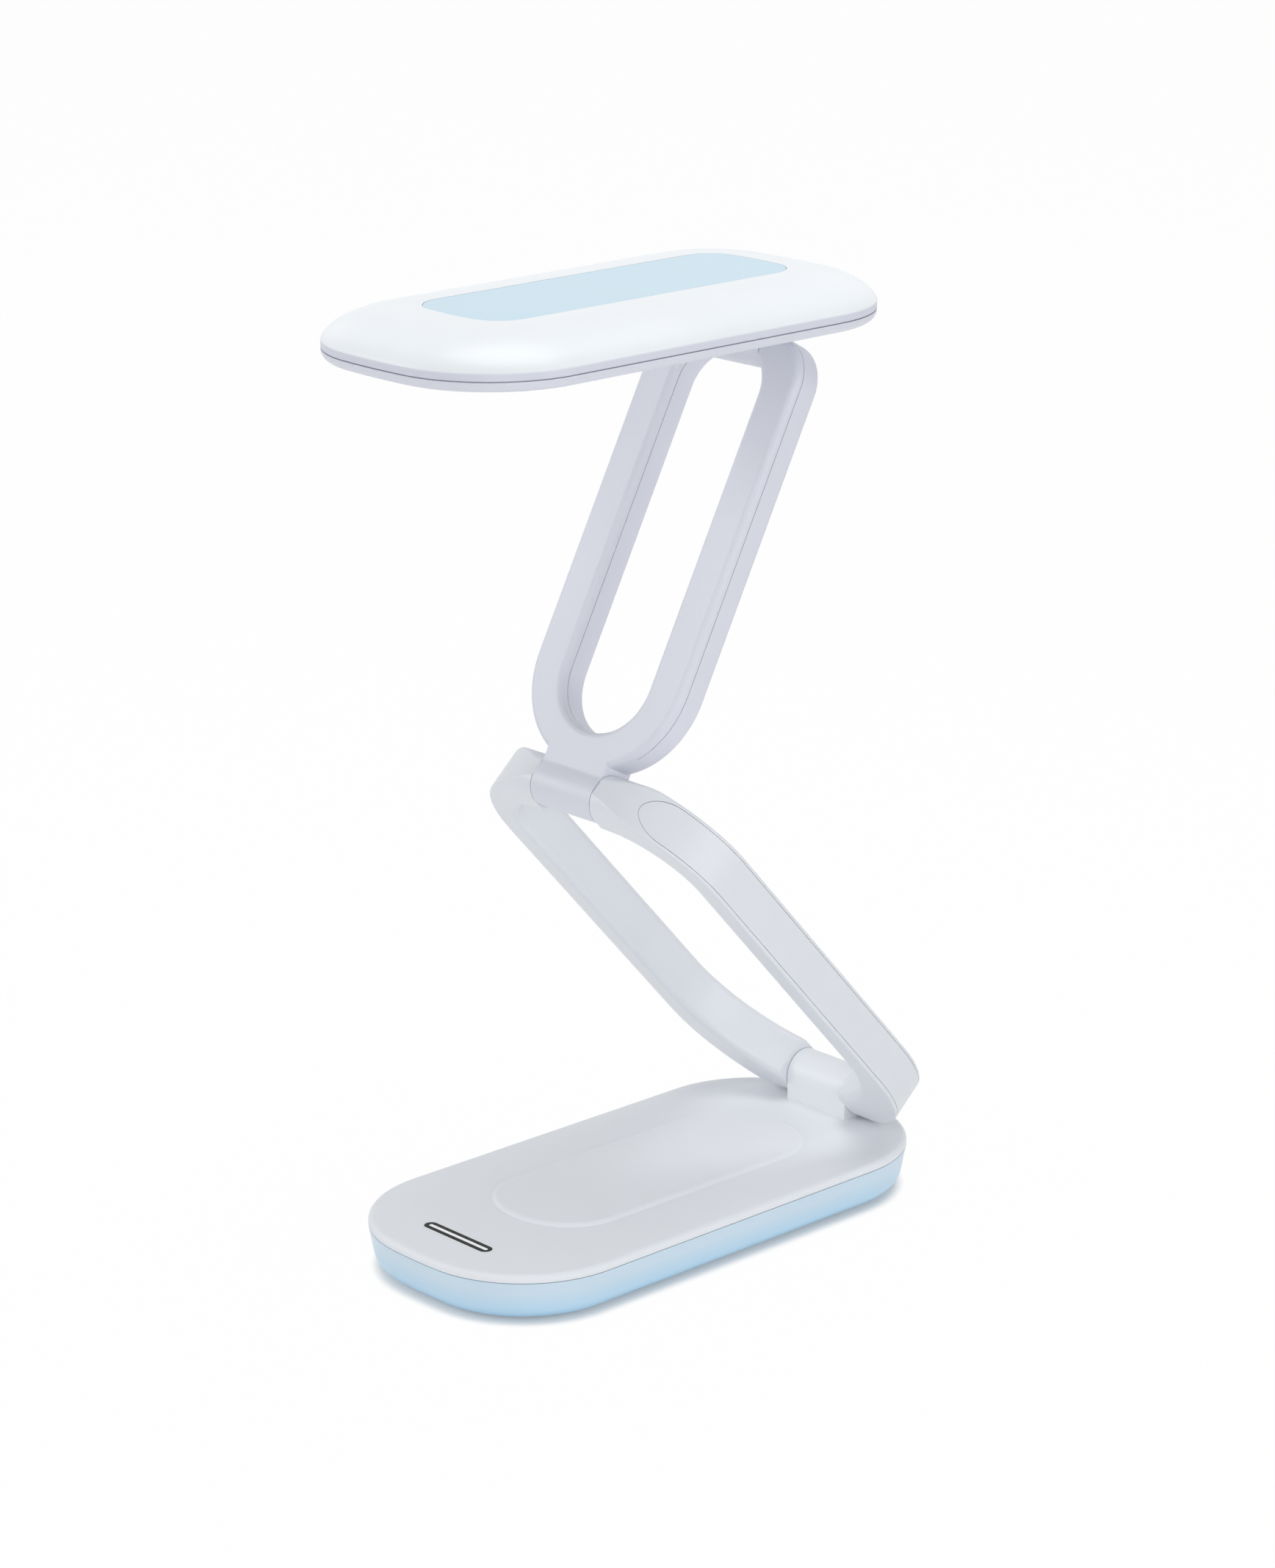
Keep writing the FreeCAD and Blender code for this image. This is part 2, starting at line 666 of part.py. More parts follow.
def base_top_cover():
    body = new_body("base_top_cover")
    plate = new_sketch(body, "cover_outline", offset="base_seam_height + seam_gap")
    draw_outline(plate, *base_outline)
    pad(body, "cover_plate", plate, "base_rim_height - base_seam_height - seam_gap")
    fillet(body, "cover_round", "rim_edge_radius", lambda e, m: level(e, value("base_rim_height")))
    step = new_sketch(body, "cover_step_outline", offset="base_seam_height + seam_gap")
    draw_outline(step, *inset(base_outline, "seam_step"))
    pad(body, "cover_step", step, "seam_gap", "down")
    plug = new_sketch(body, "cover_plug_outline", offset="base_seam_height")
    draw_outline(plug, *inset(base_outline, "shell_wall + 2 * fit_gap"))
    pad(body, "cover_plug", plug, "cover_plug_depth", "down")

    dish_ends = ("dish_end_radius", "dish_corner_radius")
    dish = ("dish_width", "-dish_front", "dish_rear", dish_ends, dish_ends)
    runs = ("dish_side_run", "dish_front_run", "dish_rear_run")
    loft(body, "dish", ogee(dish, "base_rim_height", "-dish_depth", runs), "PartDesign::SubtractiveLoft")
    island_ends = ("island_end_radius", "island_corner_radius")
    island = ("island_width", "-island_front", "island_rear", island_ends, island_ends)
    loft(body, "island", ogee(island, "base_rim_height - dish_depth", "island_rise", ("island_run",) * 3))

    knuckle = new_sketch(body, "base_knuckle_side", "YZ_Plane")
    draw_barrel(knuckle, "barrel_radius", "base_rim_height - overcut", base_hinge_y, "hinge_height")
    pad(body, "base_knuckle", knuckle, "knuckle_width", "both")
    hinge_holes(
        body, "base_hinge", "knuckle_width", "pin_radius", "washer_radius", base_hinge_y, "hinge_height")

    contact = circles(body, "contact_hole_plan", [("0", touch_y)], "touch_contact_radius + fit_gap")
    pocket(body, "contact_hole", contact)
    seat = new_sketch(body, "touch_seat_plan", offset="base_rim_height")
    draw_pill(
        seat, "(touch_width - touch_length) / 2", "(touch_length - touch_width) / 2",
        "touch_width / 2 + washer_gap", touch_y)
    pocket(body, "touch_seat", seat, "touch_seat")

    posts = circles(body, "cover_posts_plan", base_screws_at, "post_radius", plug_height)
    pad(body, "cover_posts", posts, f"{plug_height} - {base_post_top}", "down")
    pilots = circles(body, "pilots_plan", base_screws_at, "screw_radius + thread_gap", base_post_top)
    pocket(body, "pilot_holes", pilots, "pilot_depth", "up")
    return keep(body)


def touch_bar():
    body = new_body("touch_bar")
    plan = new_sketch(body, "touch_bar_plan", offset="base_rim_height - touch_seat")
    draw_pill(
        plan, "(touch_width - touch_length) / 2", "(touch_length - touch_width) / 2",
        "touch_width / 2", touch_y)
    pad(body, "touch_bar_form", plan, "touch_seat + touch_rise")
    top = "base_rim_height + touch_rise"
    fillet(body, "touch_bar_round", "touch_round", lambda e, m: level(e, value(top)))
    return keep(body)


def cross_recess(name, x, y, z, radius, height):
    """Two crossed slots that sink into a screw's head."""
    slots = []
    arms = (("across", "recess_length", "recess_width"), ("along", "recess_width", "recess_length"))
    for label, width, depth in arms:
        slots.append(box(
            f"{name}_{label}", f"{radius} * {width}", f"{radius} * {depth}", f"{height} * recess_depth",
            x, f"({y}) - {radius} * {depth} / 2", z))
    return boolean("Part::Fuse", name, *slots)


def screws(name, places, head_radius, head_height, radius, length, bottom, frame="base"):
    """Pan-head screws that point up, one solid each, with a cross recess in every head."""
    solids = []
    for number, (x, y) in enumerate(places, start=1):
        shank = cylinder(f"{name}_shank_{number}", radius, length, x, y, f"{bottom} + {head_height}")
        head = cylinder(f"{name}_head_{number}", head_radius, head_height, x, y, bottom)
        whole = boolean("Part::Fuse", f"{name}_whole_{number}", shank, head)
        recess = cross_recess(f"{name}_recess_{number}", x, y, bottom, head_radius, head_height)
        solids.append(boolean("Part::Cut", f"{name}_{number}", whole, recess))
    return keep(group(name, solids), frame)


def rubber_pad():
    """A pad let into the underside, which stands a little proud and keeps the base from sliding."""
    body = new_body("rubber_pad")
    plan = new_sketch(body, "rubber_pad_plan")
    draw_outline(plan, *pad_outline)
    pad(body, "rubber_pad_form", plan, "pad_height + pad_recess")
    fillet(body, "rubber_pad_edge", "pad_round", lambda e, m: level(e, 0))
    return keep(body)


def touch_contact():
    """A flanged pin that stands on the control board and presses up against the touch bar."""
    body = new_body("touch_contact")
    flange = circles(body, "contact_flange_plan", [("0", touch_y)], "touch_contact_radius * 2", board_top)
    pad(body, "contact_flange", flange, "board_thickness / 2")
    pin = circles(body, "contact_pin_plan", [("0", touch_y)], "touch_contact_radius", board_top)
    pad(body, "contact_pin", pin, f"base_rim_height - touch_seat - {board_top}")
    return keep(body)


def control_board():
    """The board behind the touch bar, with its driver chip, its coil and two capacitors."""
    body = new_body("control_board")
    plan = new_sketch(body, "control_board_plan", offset=base_post_top)
    draw_rectangle(
        plan, "-control_board_width / 2", "control_board_width / 2",
        "-control_board_front", "control_board_depth - control_board_front")
    pad(body, "control_board_plate", plan, "board_thickness")
    row = "control_board_depth - control_board_front - chip_setback"
    chips = new_sketch(body, "chips_plan", offset=board_top)
    for x, width in (("-chip_x", "chip_width"), ("coil_x", "coil_width")):
        draw_rectangle(
            chips, f"{x} - {width} / 2", f"{x} + {width} / 2", f"{row} - {width} / 2", f"{row} + {width} / 2")
    pad(body, "chips", chips, "chip_height")
    cans = circles(body, "cans_plan", [("0", row), ("can_x", row)], "can_radius", board_top)
    pad(body, "capacitors", cans, "can_height")
    return keep(body)


def charge_board():
    body = new_body("charge_board")
    plan = new_sketch(body, "charge_board_plan", offset=base_post_top)
    draw_rectangle(
        plan, "-charge_board_width / 2", "charge_board_width / 2",
        f"{charge_board_rear} - charge_board_depth", charge_board_rear)
    pad(body, "charge_board_plate", plan, "board_thickness")
    return keep(body)


def charging_socket():
    """A folded steel socket shell with its mouth at the rear wall and a tongue inside."""
    mouth = f"({charge_board_rear} - socket_depth + socket_overhang)"
    case = box("socket_case", "socket_width", "socket_depth", "socket_height", "0", mouth, board_top)
    hollow = box(
        "socket_hollow", "socket_width - 2 * socket_wall", "socket_depth", "socket_height - 2 * socket_wall",
        "0", f"{mouth} + socket_wall", f"{board_top} + socket_wall")
    tongue = box(
        "socket_tongue", "socket_width - 6 * socket_wall", "socket_depth - 3 * socket_wall",
        "tongue_thickness", "0", f"{mouth} + socket_wall / 2",
        f"{board_top} + (socket_height - tongue_thickness) / 2")
    shell = boolean("Part::Cut", "socket_shell", case, hollow)
    return keep(boolean("Part::Fuse", "charging_socket", shell, tongue))


def counterweight():
    body = new_body("counterweight")
    plan = new_sketch(body, "counterweight_plan", offset=cavity_floor)
    half_width, half_length = "counterweight_width / 2", "counterweight_length / 2"
    draw_rectangle(plan, f"-{half_width}", half_width, f"-{half_length}", half_length)
    pad(body, "counterweight_form", plan, "counterweight_thickness")
    upright = "counterweight_thickness"
    fillet(body, "counterweight_corners", upright, lambda e, m: e.BoundBox.ZLength > value(upright) - 1e-3)
    return keep(body)


def battery():
    body = new_body("battery")
    plan = new_sketch(body, "battery_plan", offset=f"{cavity_floor} + counterweight_thickness")
    half_width, half_length = "battery_width / 2", "battery_length / 2"
    draw_rectangle(plan, f"-{half_width}", half_width, f"-{half_length}", half_length)
    pad(body, "battery_form", plan, "battery_thickness")
    fillet(
        body, "battery_sides", "battery_thickness * 0.4",
        lambda e, m: abs(m.x) > value(half_width) - 1e-3)
    return keep(body)


def washers(name, radius, pin, width, frame="base", y="0", z="0"):
    """A friction washer in each side of a knuckle."""
    rings = []
    for label, sign in (("right", ""), ("left", "-")):
        middle = f"{sign}(({width}) - washer_thickness) / 2"
        disc = cross_cylinder(f"{name}_{label}_disc", radius, "washer_thickness", y, z, middle)
        hole = cross_cylinder(
            f"{name}_{label}_hole", f"{pin} + washer_gap", "washer_thickness * 2", y, z, middle)
        rings.append(boolean("Part::Cut", f"{name}_{label}", disc, hole))
    return keep(group(name, rings), frame)


def hinge_pin(name, radius, length, frame, y="0"):
    body = new_body(name)
    side = new_sketch(body, f"{name}_plan", "YZ_Plane")
    draw_circle(side, y, "0", radius)
    rod = pad(body, f"{name}_rod", side, length, "both")
    chamfer = body.newObject("PartDesign::Chamfer", f"{name}_chamfer")
    chamfer.Base = (rod, edges_where(rod.Shape, lambda e, m: e.BoundBox.XLength < 1e-3))
    bind(chamfer, "Size", f"{radius} * 0.15")
    doc.recompute()
    return keep(body, frame)


# ---- lower arm ----
# Local frame: the base hinge is the origin, +Y runs to the elbow and Z is the arm's thickness.

lower_outline = (
    "lower_width", "-barrel_radius", "lower_length + barrel_radius",
    ("lower_end_radius", "(lower_width / 2 - lower_foot_flat)"),
    ("lower_end_radius", "(lower_width / 2 - lower_elbow_flat)"))
lower_opening_half = "lower_width / 2 - lower_leg_width"
lower_opening = (
    f"2 * ({lower_opening_half})", "barrel_radius", "lower_length - barrel_radius + lower_opening_reach",
    ("lower_opening_end_radius", f"({lower_opening_half} - lower_opening_foot_flat)"),
    ("lower_opening_end_radius", f"({lower_opening_half} - lower_opening_elbow_flat)"))
ear_face = "(knuckle_width / 2 + knuckle_gap)"


def surround(sketch, outline):
    """A rectangle well outside an outline, so that the band between them can be cut away."""
    width, low, high = outline[:3]
    draw_rectangle(
        sketch, f"-({width})", f"({width})", f"({low}) - surround_margin", f"({high}) + surround_margin")
    draw_outline(sketch, *outline)


def strip(name, outline, near, far, height, start, middle="0"):
    """The right-hand stretch of a band that follows an outline, between two depths below it."""
    body = new_body(name)
    band = new_sketch(body, f"{name}_band", offset=middle)
    draw_outline(band, *inset(outline, near))
    draw_outline(band, *inset(outline, far))
    pad(body, f"{name}_ring", band, height, "both")
    rest = new_sketch(body, f"{name}_rest")
    width, low, high = outline[:3]
    draw_rectangle(rest, f"-({width})", start, f"({low}) - surround_margin", f"({high}) + surround_margin")
    pocket(body, f"{name}_ends", rest)
    return body


def inlay_strip(name, proud, gap):
    """The cover along the outside of a leg, with round ends, or the seat that it drops into."""
    half = f"(barrel_radius - inlay_margin + {gap})"
    body = strip(
        name, lower_outline, f"-({proud})", f"inlay_depth + {gap}", f"2 * {half} + overcut", ear_face)
    side = new_sketch(body, f"{name}_side", "YZ_Plane")
    far = "lower_length + 4 * barrel_radius"
    draw_rectangle(side, "-4 * barrel_radius", far, "-2 * barrel_radius", "2 * barrel_radius")
    first = f"{half} - inlay_overrun - {gap}"
    last = f"lower_length + inlay_overrun + {gap} - {half}"
    draw_pill(side, first, last, half)
    pocket(body, f"{name}_round_ends", side)
    return body


def lower_leg_form():
    """The right-hand leg: a C that bends in to an ear at each hinge, with full-round ends."""
    body = new_body("lower_leg_form")
    side = new_sketch(body, "leg_side", "YZ_Plane")
    draw_pill(side, "0", "lower_length", "barrel_radius")
    pad(body, "leg_slab", side, "lower_width + 2 * overcut", "both")
    outside = new_sketch(body, "leg_outside_plan")
    surround(outside, lower_outline)
    pocket(body, "leg_outside", outside)
    opening = new_sketch(body, "leg_opening_plan")
    draw_outline(opening, *lower_opening)
    pocket(body, "leg_opening", opening)
    other = new_sketch(body, "leg_other_plan")
    draw_rectangle(
        other, "-lower_width", ear_face, "-2 * barrel_radius", "lower_length + 2 * barrel_radius")
    pocket(body, "leg_other_side", other)

    def along(sketch, middle):
        over = Part.Vertex(middle.x, middle.y, 0).distToShape(sketch.Shape)[0] < 1e-2
        return over and middle.x > value(ear_face) + 1e-3

    def outer_edge(edge, middle):
        return along(outside, middle)

    def inner_edge(edge, middle):
        return along(opening, middle) and edge.BoundBox.ZLength < 1e-3

    fillet(body, "leg_outer_round", "lower_edge_radius", outer_edge)
    fillet(body, "leg_inner_round", "lower_inner_edge_radius", inner_edge)
    bores = new_sketch(body, "ear_bores_plan", "YZ_Plane", ear_face)
    draw_circle(bores, "0", "0", "pin_radius + pin_gap")
    draw_circle(bores, "lower_length", "0", "pin_radius + pin_gap")
    pocket(body, "ear_bores", bores, f"pin_length / 2 - {ear_face} + fit_gap", "up")
    return body


def mirrored(name, source):
    """The left-hand twin of a right-hand piece."""
    twin = doc.addObject("Part::Mirroring", name)
    twin.Label = name
    twin.Source = source
    twin.Normal = Vector(1, 0, 0)
    return twin


def wire_along(name, outline, depth, turn, frame, height="0"):
    """A round wire that follows the right side of an outline at a depth, and turns in at both ends."""
    swing = math.radians(value(turn))
    width, low, high, low_end, high_end = inset(outline, depth)
    half = value(width) / 2
    level_z = value(height)
    radius = value("wire_radius")
    up = Vector(0, 0, 1)
    ends = []
    for sign, tip, end in ((-1, low, low_end), (1, high, high_end)):
        wide, tight = value(end[0]), value(end[1])
        rise = math.sqrt((wide - tight) ** 2 - (half - tight) ** 2)
        ends.append((Vector(half - tight, value(tip) - sign * (wide - rise), level_z), tight))
    (low_centre, low_tight), (high_centre, high_tight) = ends
    first = Part.Arc(Part.Circle(low_centre, up, low_tight), -swing, 0).toShape()
    last = Part.Arc(Part.Circle(high_centre, up, high_tight), 0, swing).toShape()
    straight = Part.LineSegment(Vector(half, low_centre.y, level_z), Vector(half, high_centre.y, level_z))
    path = Part.Wire([first, straight.toShape(), last])
    start = first.valueAt(first.FirstParameter)
    profile = Part.Wire(Part.Circle(start, first.tangentAt(first.FirstParameter), radius).toShape())
    wire = doc.addObject("Part::Feature", name)
    wire.Label = name
    wire.Shape = path.makePipeShell([profile], True, False)
    return keep(wire, frame)


def lower_arm():
    form = lower_leg_form()
    seat = inlay_strip("inlay_seat", "1", "inlay_gap")
    seated = boolean("Part::Cut", "lower_leg_seated", form, seat)
    channel = strip(
        "lower_wire_channel", lower_outline, "inlay_depth", "inlay_depth + 2 * (wire_radius + wire_gap)",
        "2 * (wire_radius + wire_gap)", "lower_width / 2 - lower_wire_turn")
    keep(boolean("Part::Cut", "lower_arm_right", seated, channel), "lower")
    keep(mirrored("lower_arm_left", seated), "lower")
    inlay = keep(inlay_strip("lower_arm_right_inlay", "0", "0"), "lower")
    keep(mirrored("lower_arm_left_inlay", inlay))
    wire_along(
        "lower_arm_wire", lower_outline, "inlay_depth + wire_radius + wire_gap * 2", "lower_wire_angle",
        "lower")
    hinge_pin("base_hinge_pin", "pin_radius", "pin_length", "lower")
    hinge_pin("elbow_pin", "pin_radius", "pin_length", "lower", "lower_length")


# ---- upper arm ----
# Local frame: the elbow is the origin, +Y runs to the head hinge and +Z faces the front.

upper_round = ("(upper_width / 2 + upper_round_swell)", "(upper_width / 2 - upper_round_flat)")
upper_top = ("upper_top_radius", "upper_top_corner")
upper_outline = (
    "upper_width", "upper_ring_start", "upper_length + upper_thickness / 2", upper_round, upper_top)
upper_opening_half = "upper_width / 2 - upper_leg_width"
opening_round = (
    f"({upper_opening_half} + opening_round_swell)", f"({upper_opening_half} - opening_round_flat)")
opening_top = ("opening_top_radius", f"({upper_opening_half} - opening_top_flat)")
upper_opening = (
    f"2 * ({upper_opening_half})", "upper_opening_start", "upper_length - upper_opening_end",
    opening_round, opening_top)
split_height = "(upper_thickness / 2 - upper_shell_front)"
upper_screws_at = [
    (f"{side}(upper_width / 2 - upper_screw_inset)", f"upper_length * {share}")
    for side in ("-", "") for share in ("upper_screw_low_share", "upper_screw_high_share")]


def upper_arm_form():
    """The whole upper arm as one form: a ring, a neck that widens into it, and the elbow barrel."""
    body = new_body("upper_arm_form")
    side = new_sketch(body, "upper_side", "YZ_Plane")
    draw_pill(side, "0", "upper_length", "upper_thickness / 2")
    pad(body, "upper_slab", side, "upper_width + 2 * overcut", "both")
    outside = new_sketch(body, "upper_outside_plan")
    surround(outside, upper_outline)
    pocket(body, "upper_outside", outside)
    opening = new_sketch(body, "upper_opening_plan")
    draw_outline(opening, *upper_opening)
    pocket(body, "upper_opening", opening)
    slot = new_sketch(body, "head_slot_plan")
    draw_rectangle(slot, f"-{ear_face}", ear_face, "upper_length * 0.8", "upper_length + upper_thickness")
    pocket(body, "head_slot", slot)

    def long_edge(edge, middle):
        return abs(middle.x) > value(ear_face) + 1e-3 or middle.y < value("upper_length") * 0.5

    fillet(body, "upper_round", "upper_edge_radius", lambda e, m: long_edge(e, m) and abs(m.z) > 0.5)

    neck = new_sketch(body, "neck_plan")
    half_neck = "knuckle_width / 2"
    draw_rectangle(neck, f"-{half_neck}", half_neck, "0", "(upper_ring_start + upper_opening_start) / 2")
    pad(body, "neck", neck, "upper_thickness", "both")
    barrel = new_sketch(body, "elbow_barrel_side", "YZ_Plane")
    draw_circle(barrel, "0", "0", "barrel_radius")
    pad(body, "elbow_barrel", barrel, "knuckle_width", "both")

    def root(edge, middle):
        across = edge.BoundBox.XLength > value("knuckle_width") - 1e-3
        return across and abs(abs(middle.z) - value("upper_thickness") / 2) < 1e-3 and middle.y > 0

    fillet(body, "neck_root", "upper_edge_radius", root)
    hinge_holes(body, "elbow", "knuckle_width", "pin_radius", "washer_radius")
    bore = new_sketch(body, "head_bore_plan", "YZ_Plane")
    draw_circle(bore, "upper_length", "0", "head_pin_radius + pin_gap")
    pocket(body, "head_bore", bore, "head_pin_length + 2 * fit_gap", "both")
    return body


def parting_groove(margin):
    """The narrow band along the outer edges of the ring that shows where its two shells meet."""
    top = split_height
    start = "(upper_ring_start + upper_opening_start) / 2 + upper_edge_radius"
    band = box(
        "parting_band", f"2 * {margin}", f"upper_length + {margin}", "upper_seam_gap", "0", start,
        f"{top} - upper_seam_gap")
    core = new_body("parting_core")
    outside = new_sketch(core, "parting_core_plan", offset=f"{top} + overcut")
    draw_outline(outside, *inset(upper_outline, "upper_seam_depth"))
    draw_outline(outside, *inset(upper_opening, "-upper_seam_depth"))
    pad(core, "parting_core_form", outside, "upper_seam_gap + 2 * overcut", "down")
    return boolean("Part::Cut", "parting_groove", band, core)


def upper_arm():
    form = upper_arm_form()
    margin = "upper_width"
    front_half = box(
        "front_half", f"2 * {margin}", f"upper_length + 2 * {margin}", margin, "0", f"-{margin}",
        split_height)
    rear_half = box(
        "rear_half", f"2 * {margin}", f"upper_length + 2 * {margin}", margin, "0", f"-{margin}",
        f"{split_height} - {margin}")
    front = boolean("Part::Common", "upper_front_form", form, front_half)
    rear = boolean("Part::Common", "upper_rear_form", form, rear_half)

    bottom = "-upper_thickness / 2"
    pilots, holes = [], []
    for number, (x, y) in enumerate(upper_screws_at, start=1):
        for label, radius, height, low, found in (
                ("pilot", "small_screw_radius + thread_gap", "upper_pilot_depth", split_height, pilots),
                ("hole", "small_screw_radius + washer_gap", "upper_thickness", bottom, holes),
                ("seat", "small_head_radius + washer_gap", "small_head_height + washer_gap", bottom,
                 holes)):
            found.append(cylinder(f"upper_{label}_{number}", radius, height, x, y, low))
    keep(boolean("Part::Cut", "upper_arm_front_shell", front, group("upper_pilots", pilots)), "upper")
    holes.append(parting_groove(margin))
    drilled = boolean("Part::Cut", "upper_rear_drilled", rear, group("upper_holes", holes))
    depth = "2 * (wire_radius + wire_gap)"
    channel = strip(
        "upper_wire_channel", upper_outline, "upper_wire_depth", f"upper_wire_depth + {depth}",
        f"{depth} + wire_gap", ear_face, f"{split_height} - {depth} / 2 + wire_gap / 2")
    keep(boolean("Part::Cut", "upper_arm_rear_shell", drilled, channel), "upper")
    wire_along(
        "upper_arm_wire", upper_outline, f"upper_wire_depth + {depth} / 2", "upper_wire_angle", "upper",
        f"{split_height} - {depth} / 2")
    screws(
        "upper_arm_screws", upper_screws_at, "small_head_radius", "small_head_height", "small_screw_radius",
        "upper_screw_length", f"({bottom} + washer_gap)", "upper")
    hinge_pin("head_hinge_pin", "head_pin_radius", "head_pin_length", "upper", "upper_length")
    washers("elbow_washers", "washer_radius", "pin_radius", "knuckle_width", "upper")


# ---- head ----
# Local frame: the head hinge is the origin, -Y runs forward along the head and +Z is up.

head_ends = ("head_end_radius", "head_corner_radius")
head_outline = (
    "head_width", "-head_reach - head_length / 2", "head_length / 2 - head_reach", head_ends, head_ends)
shell_bottom = "(head_seam + head_seam_gap / 2)"
head_top = f"({shell_bottom} + head_lip + head_dome_height)"
lens_ends = ("lens_end_radius", "lens_corner_radius")
lens_low = "(lens_front_border - head_length / 2 - head_reach)"
lens_high = "(head_length / 2 - lens_rear_border - head_reach)"
lens_outline = ("head_width - 2 * lens_side_border", lens_low, lens_high, lens_ends, lens_ends)
ledge_height = f"({shell_bottom} - lens_flange_thickness - lens_ledge_drop)"
flange_top = f"({ledge_height} + lens_flange_thickness)"
led_board_bottom = f"({flange_top} + reflector_height)"
head_screws_at = corners(
    "head_width - 2 * head_screw_inset", "head_length - 2 * head_screw_setback", "-head_reach")


def dome(height, wall):
    """Sections of a dome on top of the lip, moved inwards by a wall.

    It rises from the lip at about 60 degrees and ends level, so that a crease runs round the head.
    """
    sections = []
    for share in (0, 0.35, 0.65, 0.87, 0.97, 1):
        run = f"{wall} + head_dome_run * {1 - math.sqrt(1 - share ** 1.5):.4f}"
        sections.append((f"{shell_bottom} + head_lip + ({height}) * {share}", inset(head_outline, run)))
    return sections


def head_top_shell():
    body = new_body("head_top_shell")
    lip = new_sketch(body, "head_lip_plan", offset=shell_bottom)
    draw_outline(lip, *head_outline)
    pad(body, "head_lip", lip, "head_lip")
    loft(body, "head_dome", dome("head_dome_height", "0"))
    mouth = new_sketch(body, "head_mouth_plan", offset=shell_bottom)
    draw_outline(mouth, *inset(head_outline, "head_wall"))
    pocket(body, "head_mouth", mouth, "head_lip", "up")
    hollow = dome("head_dome_height - head_roof", "head_wall")
    loft(body, "head_cavity", hollow, "PartDesign::SubtractiveLoft")
    seat = new_sketch(body, "panel_seat_plan", offset=head_top)
    draw_outline(seat, *inset(panel_outline, "-panel_gap"))
    pocket(body, "panel_seat", seat, "panel_depth")
    posts = circles(body, "head_posts_plan", head_screws_at, "head_post_radius", shell_bottom)
    pad(body, "head_posts", posts, "small_post_height")
    pilots = circles(
        body, "head_pilots_plan", head_screws_at, "small_screw_radius + thread_gap", shell_bottom)
    pocket(body, "head_pilots", pilots, "small_pilot_depth", "up")
    return keep(body, "head")


panel_ends = ("panel_end_radius", "panel_corner_radius")
panel_half = "(head_length / 2 - panel_end_border)"
panel_outline = (
    "head_width - 2 * panel_side_border", f"panel_offset - head_reach - {panel_half}",
    f"panel_offset - head_reach + {panel_half}", panel_ends, panel_ends)


def head_panel():
    body = new_body("head_panel")
    plan = new_sketch(body, "head_panel_plan", offset=f"{head_top} - panel_depth")
    draw_outline(plan, *panel_outline)
    pad(body, "head_panel_form", plan, "panel_depth")
    fillet(body, "head_panel_round", "panel_round", lambda e, m: level(e, value(head_top)))
    return keep(body, "head")


def head_bottom_frame():
    body = new_body("head_bottom_frame")
    plate = new_sketch(body, "frame_outline", offset="head_underside")
    draw_outline(plate, *head_outline)
    pad(body, "frame_plate", plate, "head_seam - head_seam_gap / 2 - head_underside")
    fillet(body, "frame_round", "head_bezel_radius", lambda e, m: level(e, value("head_underside")))
    lip = new_sketch(body, "frame_lip_outline", offset="head_seam - head_seam_gap / 2")
    draw_outline(lip, *inset(head_outline, "head_wall / 2"))
    pad(body, "frame_lip", lip, "head_seam_gap")

    window = new_sketch(body, "window_plan")
    draw_outline(window, *lens_outline)
    pocket(body, "window", window)
    ledge = new_sketch(body, "ledge_plan", offset=shell_bottom)
    draw_outline(ledge, *inset(lens_outline, "-lens_flange - washer_gap"))
    pocket(body, "ledge", ledge, f"{shell_bottom} - {ledge_height}")

    knuckle = new_sketch(body, "head_knuckle_side", "YZ_Plane")
    draw_barrel(knuckle, "head_barrel_radius", "head_underside + overcut")
    pad(body, "head_knuckle", knuckle, "knuckle_width", "both")

    def root(edge, middle):
        near = abs(middle.x) < value("knuckle_width") and abs(middle.y) < 2 * value("head_barrel_radius")
        return level(edge, value("head_underside")) and near

    fillet(body, "head_knuckle_root", "head_bezel_radius / 2", root)
    hinge_holes(body, "head_hinge", "knuckle_width", "head_pin_radius", "head_washer_radius")
    holes = circles(body, "frame_holes_plan", head_screws_at, "small_screw_radius + washer_gap")
    pocket(body, "frame_holes", holes)
    heads = circles(
        body, "frame_seats_plan", head_screws_at, "small_head_radius + washer_gap", "head_underside")
    pocket(body, "frame_seats", heads, "small_head_height + washer_gap", "up")
    return keep(body, "head")


def diffuser():
    body = new_body("diffuser")
    flange = new_sketch(body, "diffuser_flange_plan", offset=ledge_height)
    draw_outline(flange, *inset(lens_outline, "-lens_flange"))
    pad(body, "diffuser_flange", flange, "lens_flange_thickness")
    face = new_sketch(body, "diffuser_face_plan", offset=ledge_height)
    draw_outline(face, *inset(lens_outline, "washer_gap"))
    pad(body, "diffuser_face", face, f"{ledge_height} - head_underside - lens_inset", "down")
    return keep(body, "head")


def reflector():
    """A white tray wall that stands on the diffuser, carries the board and leans outwards as it drops."""
    body = new_body("reflector")
    outer = new_sketch(body, "reflector_plan", offset=flange_top)
    draw_outline(outer, *inset(lens_outline, "reflector_inset - lens_flange"))
    pad(body, "reflector_form", outer, "reflector_height")
    inner = new_sketch(body, "reflector_opening_plan", offset=flange_top)
    draw_outline(inner, *inset(lens_outline, "reflector_inset - lens_flange + reflector_wall / 2"))
    pocket(body, "reflector_opening", inner, "reflector_height", "up", taper="-reflector_taper")
    return keep(body, "head")


def led_board():
    body = new_body("led_board")
    plan = new_sketch(body, "led_board_plan", offset=led_board_bottom)
    draw_outline(plan, *inset(lens_outline, "-led_board_margin"))
    pad(body, "led_board_plate", plan, "board_thickness")
    return keep(body, "head")


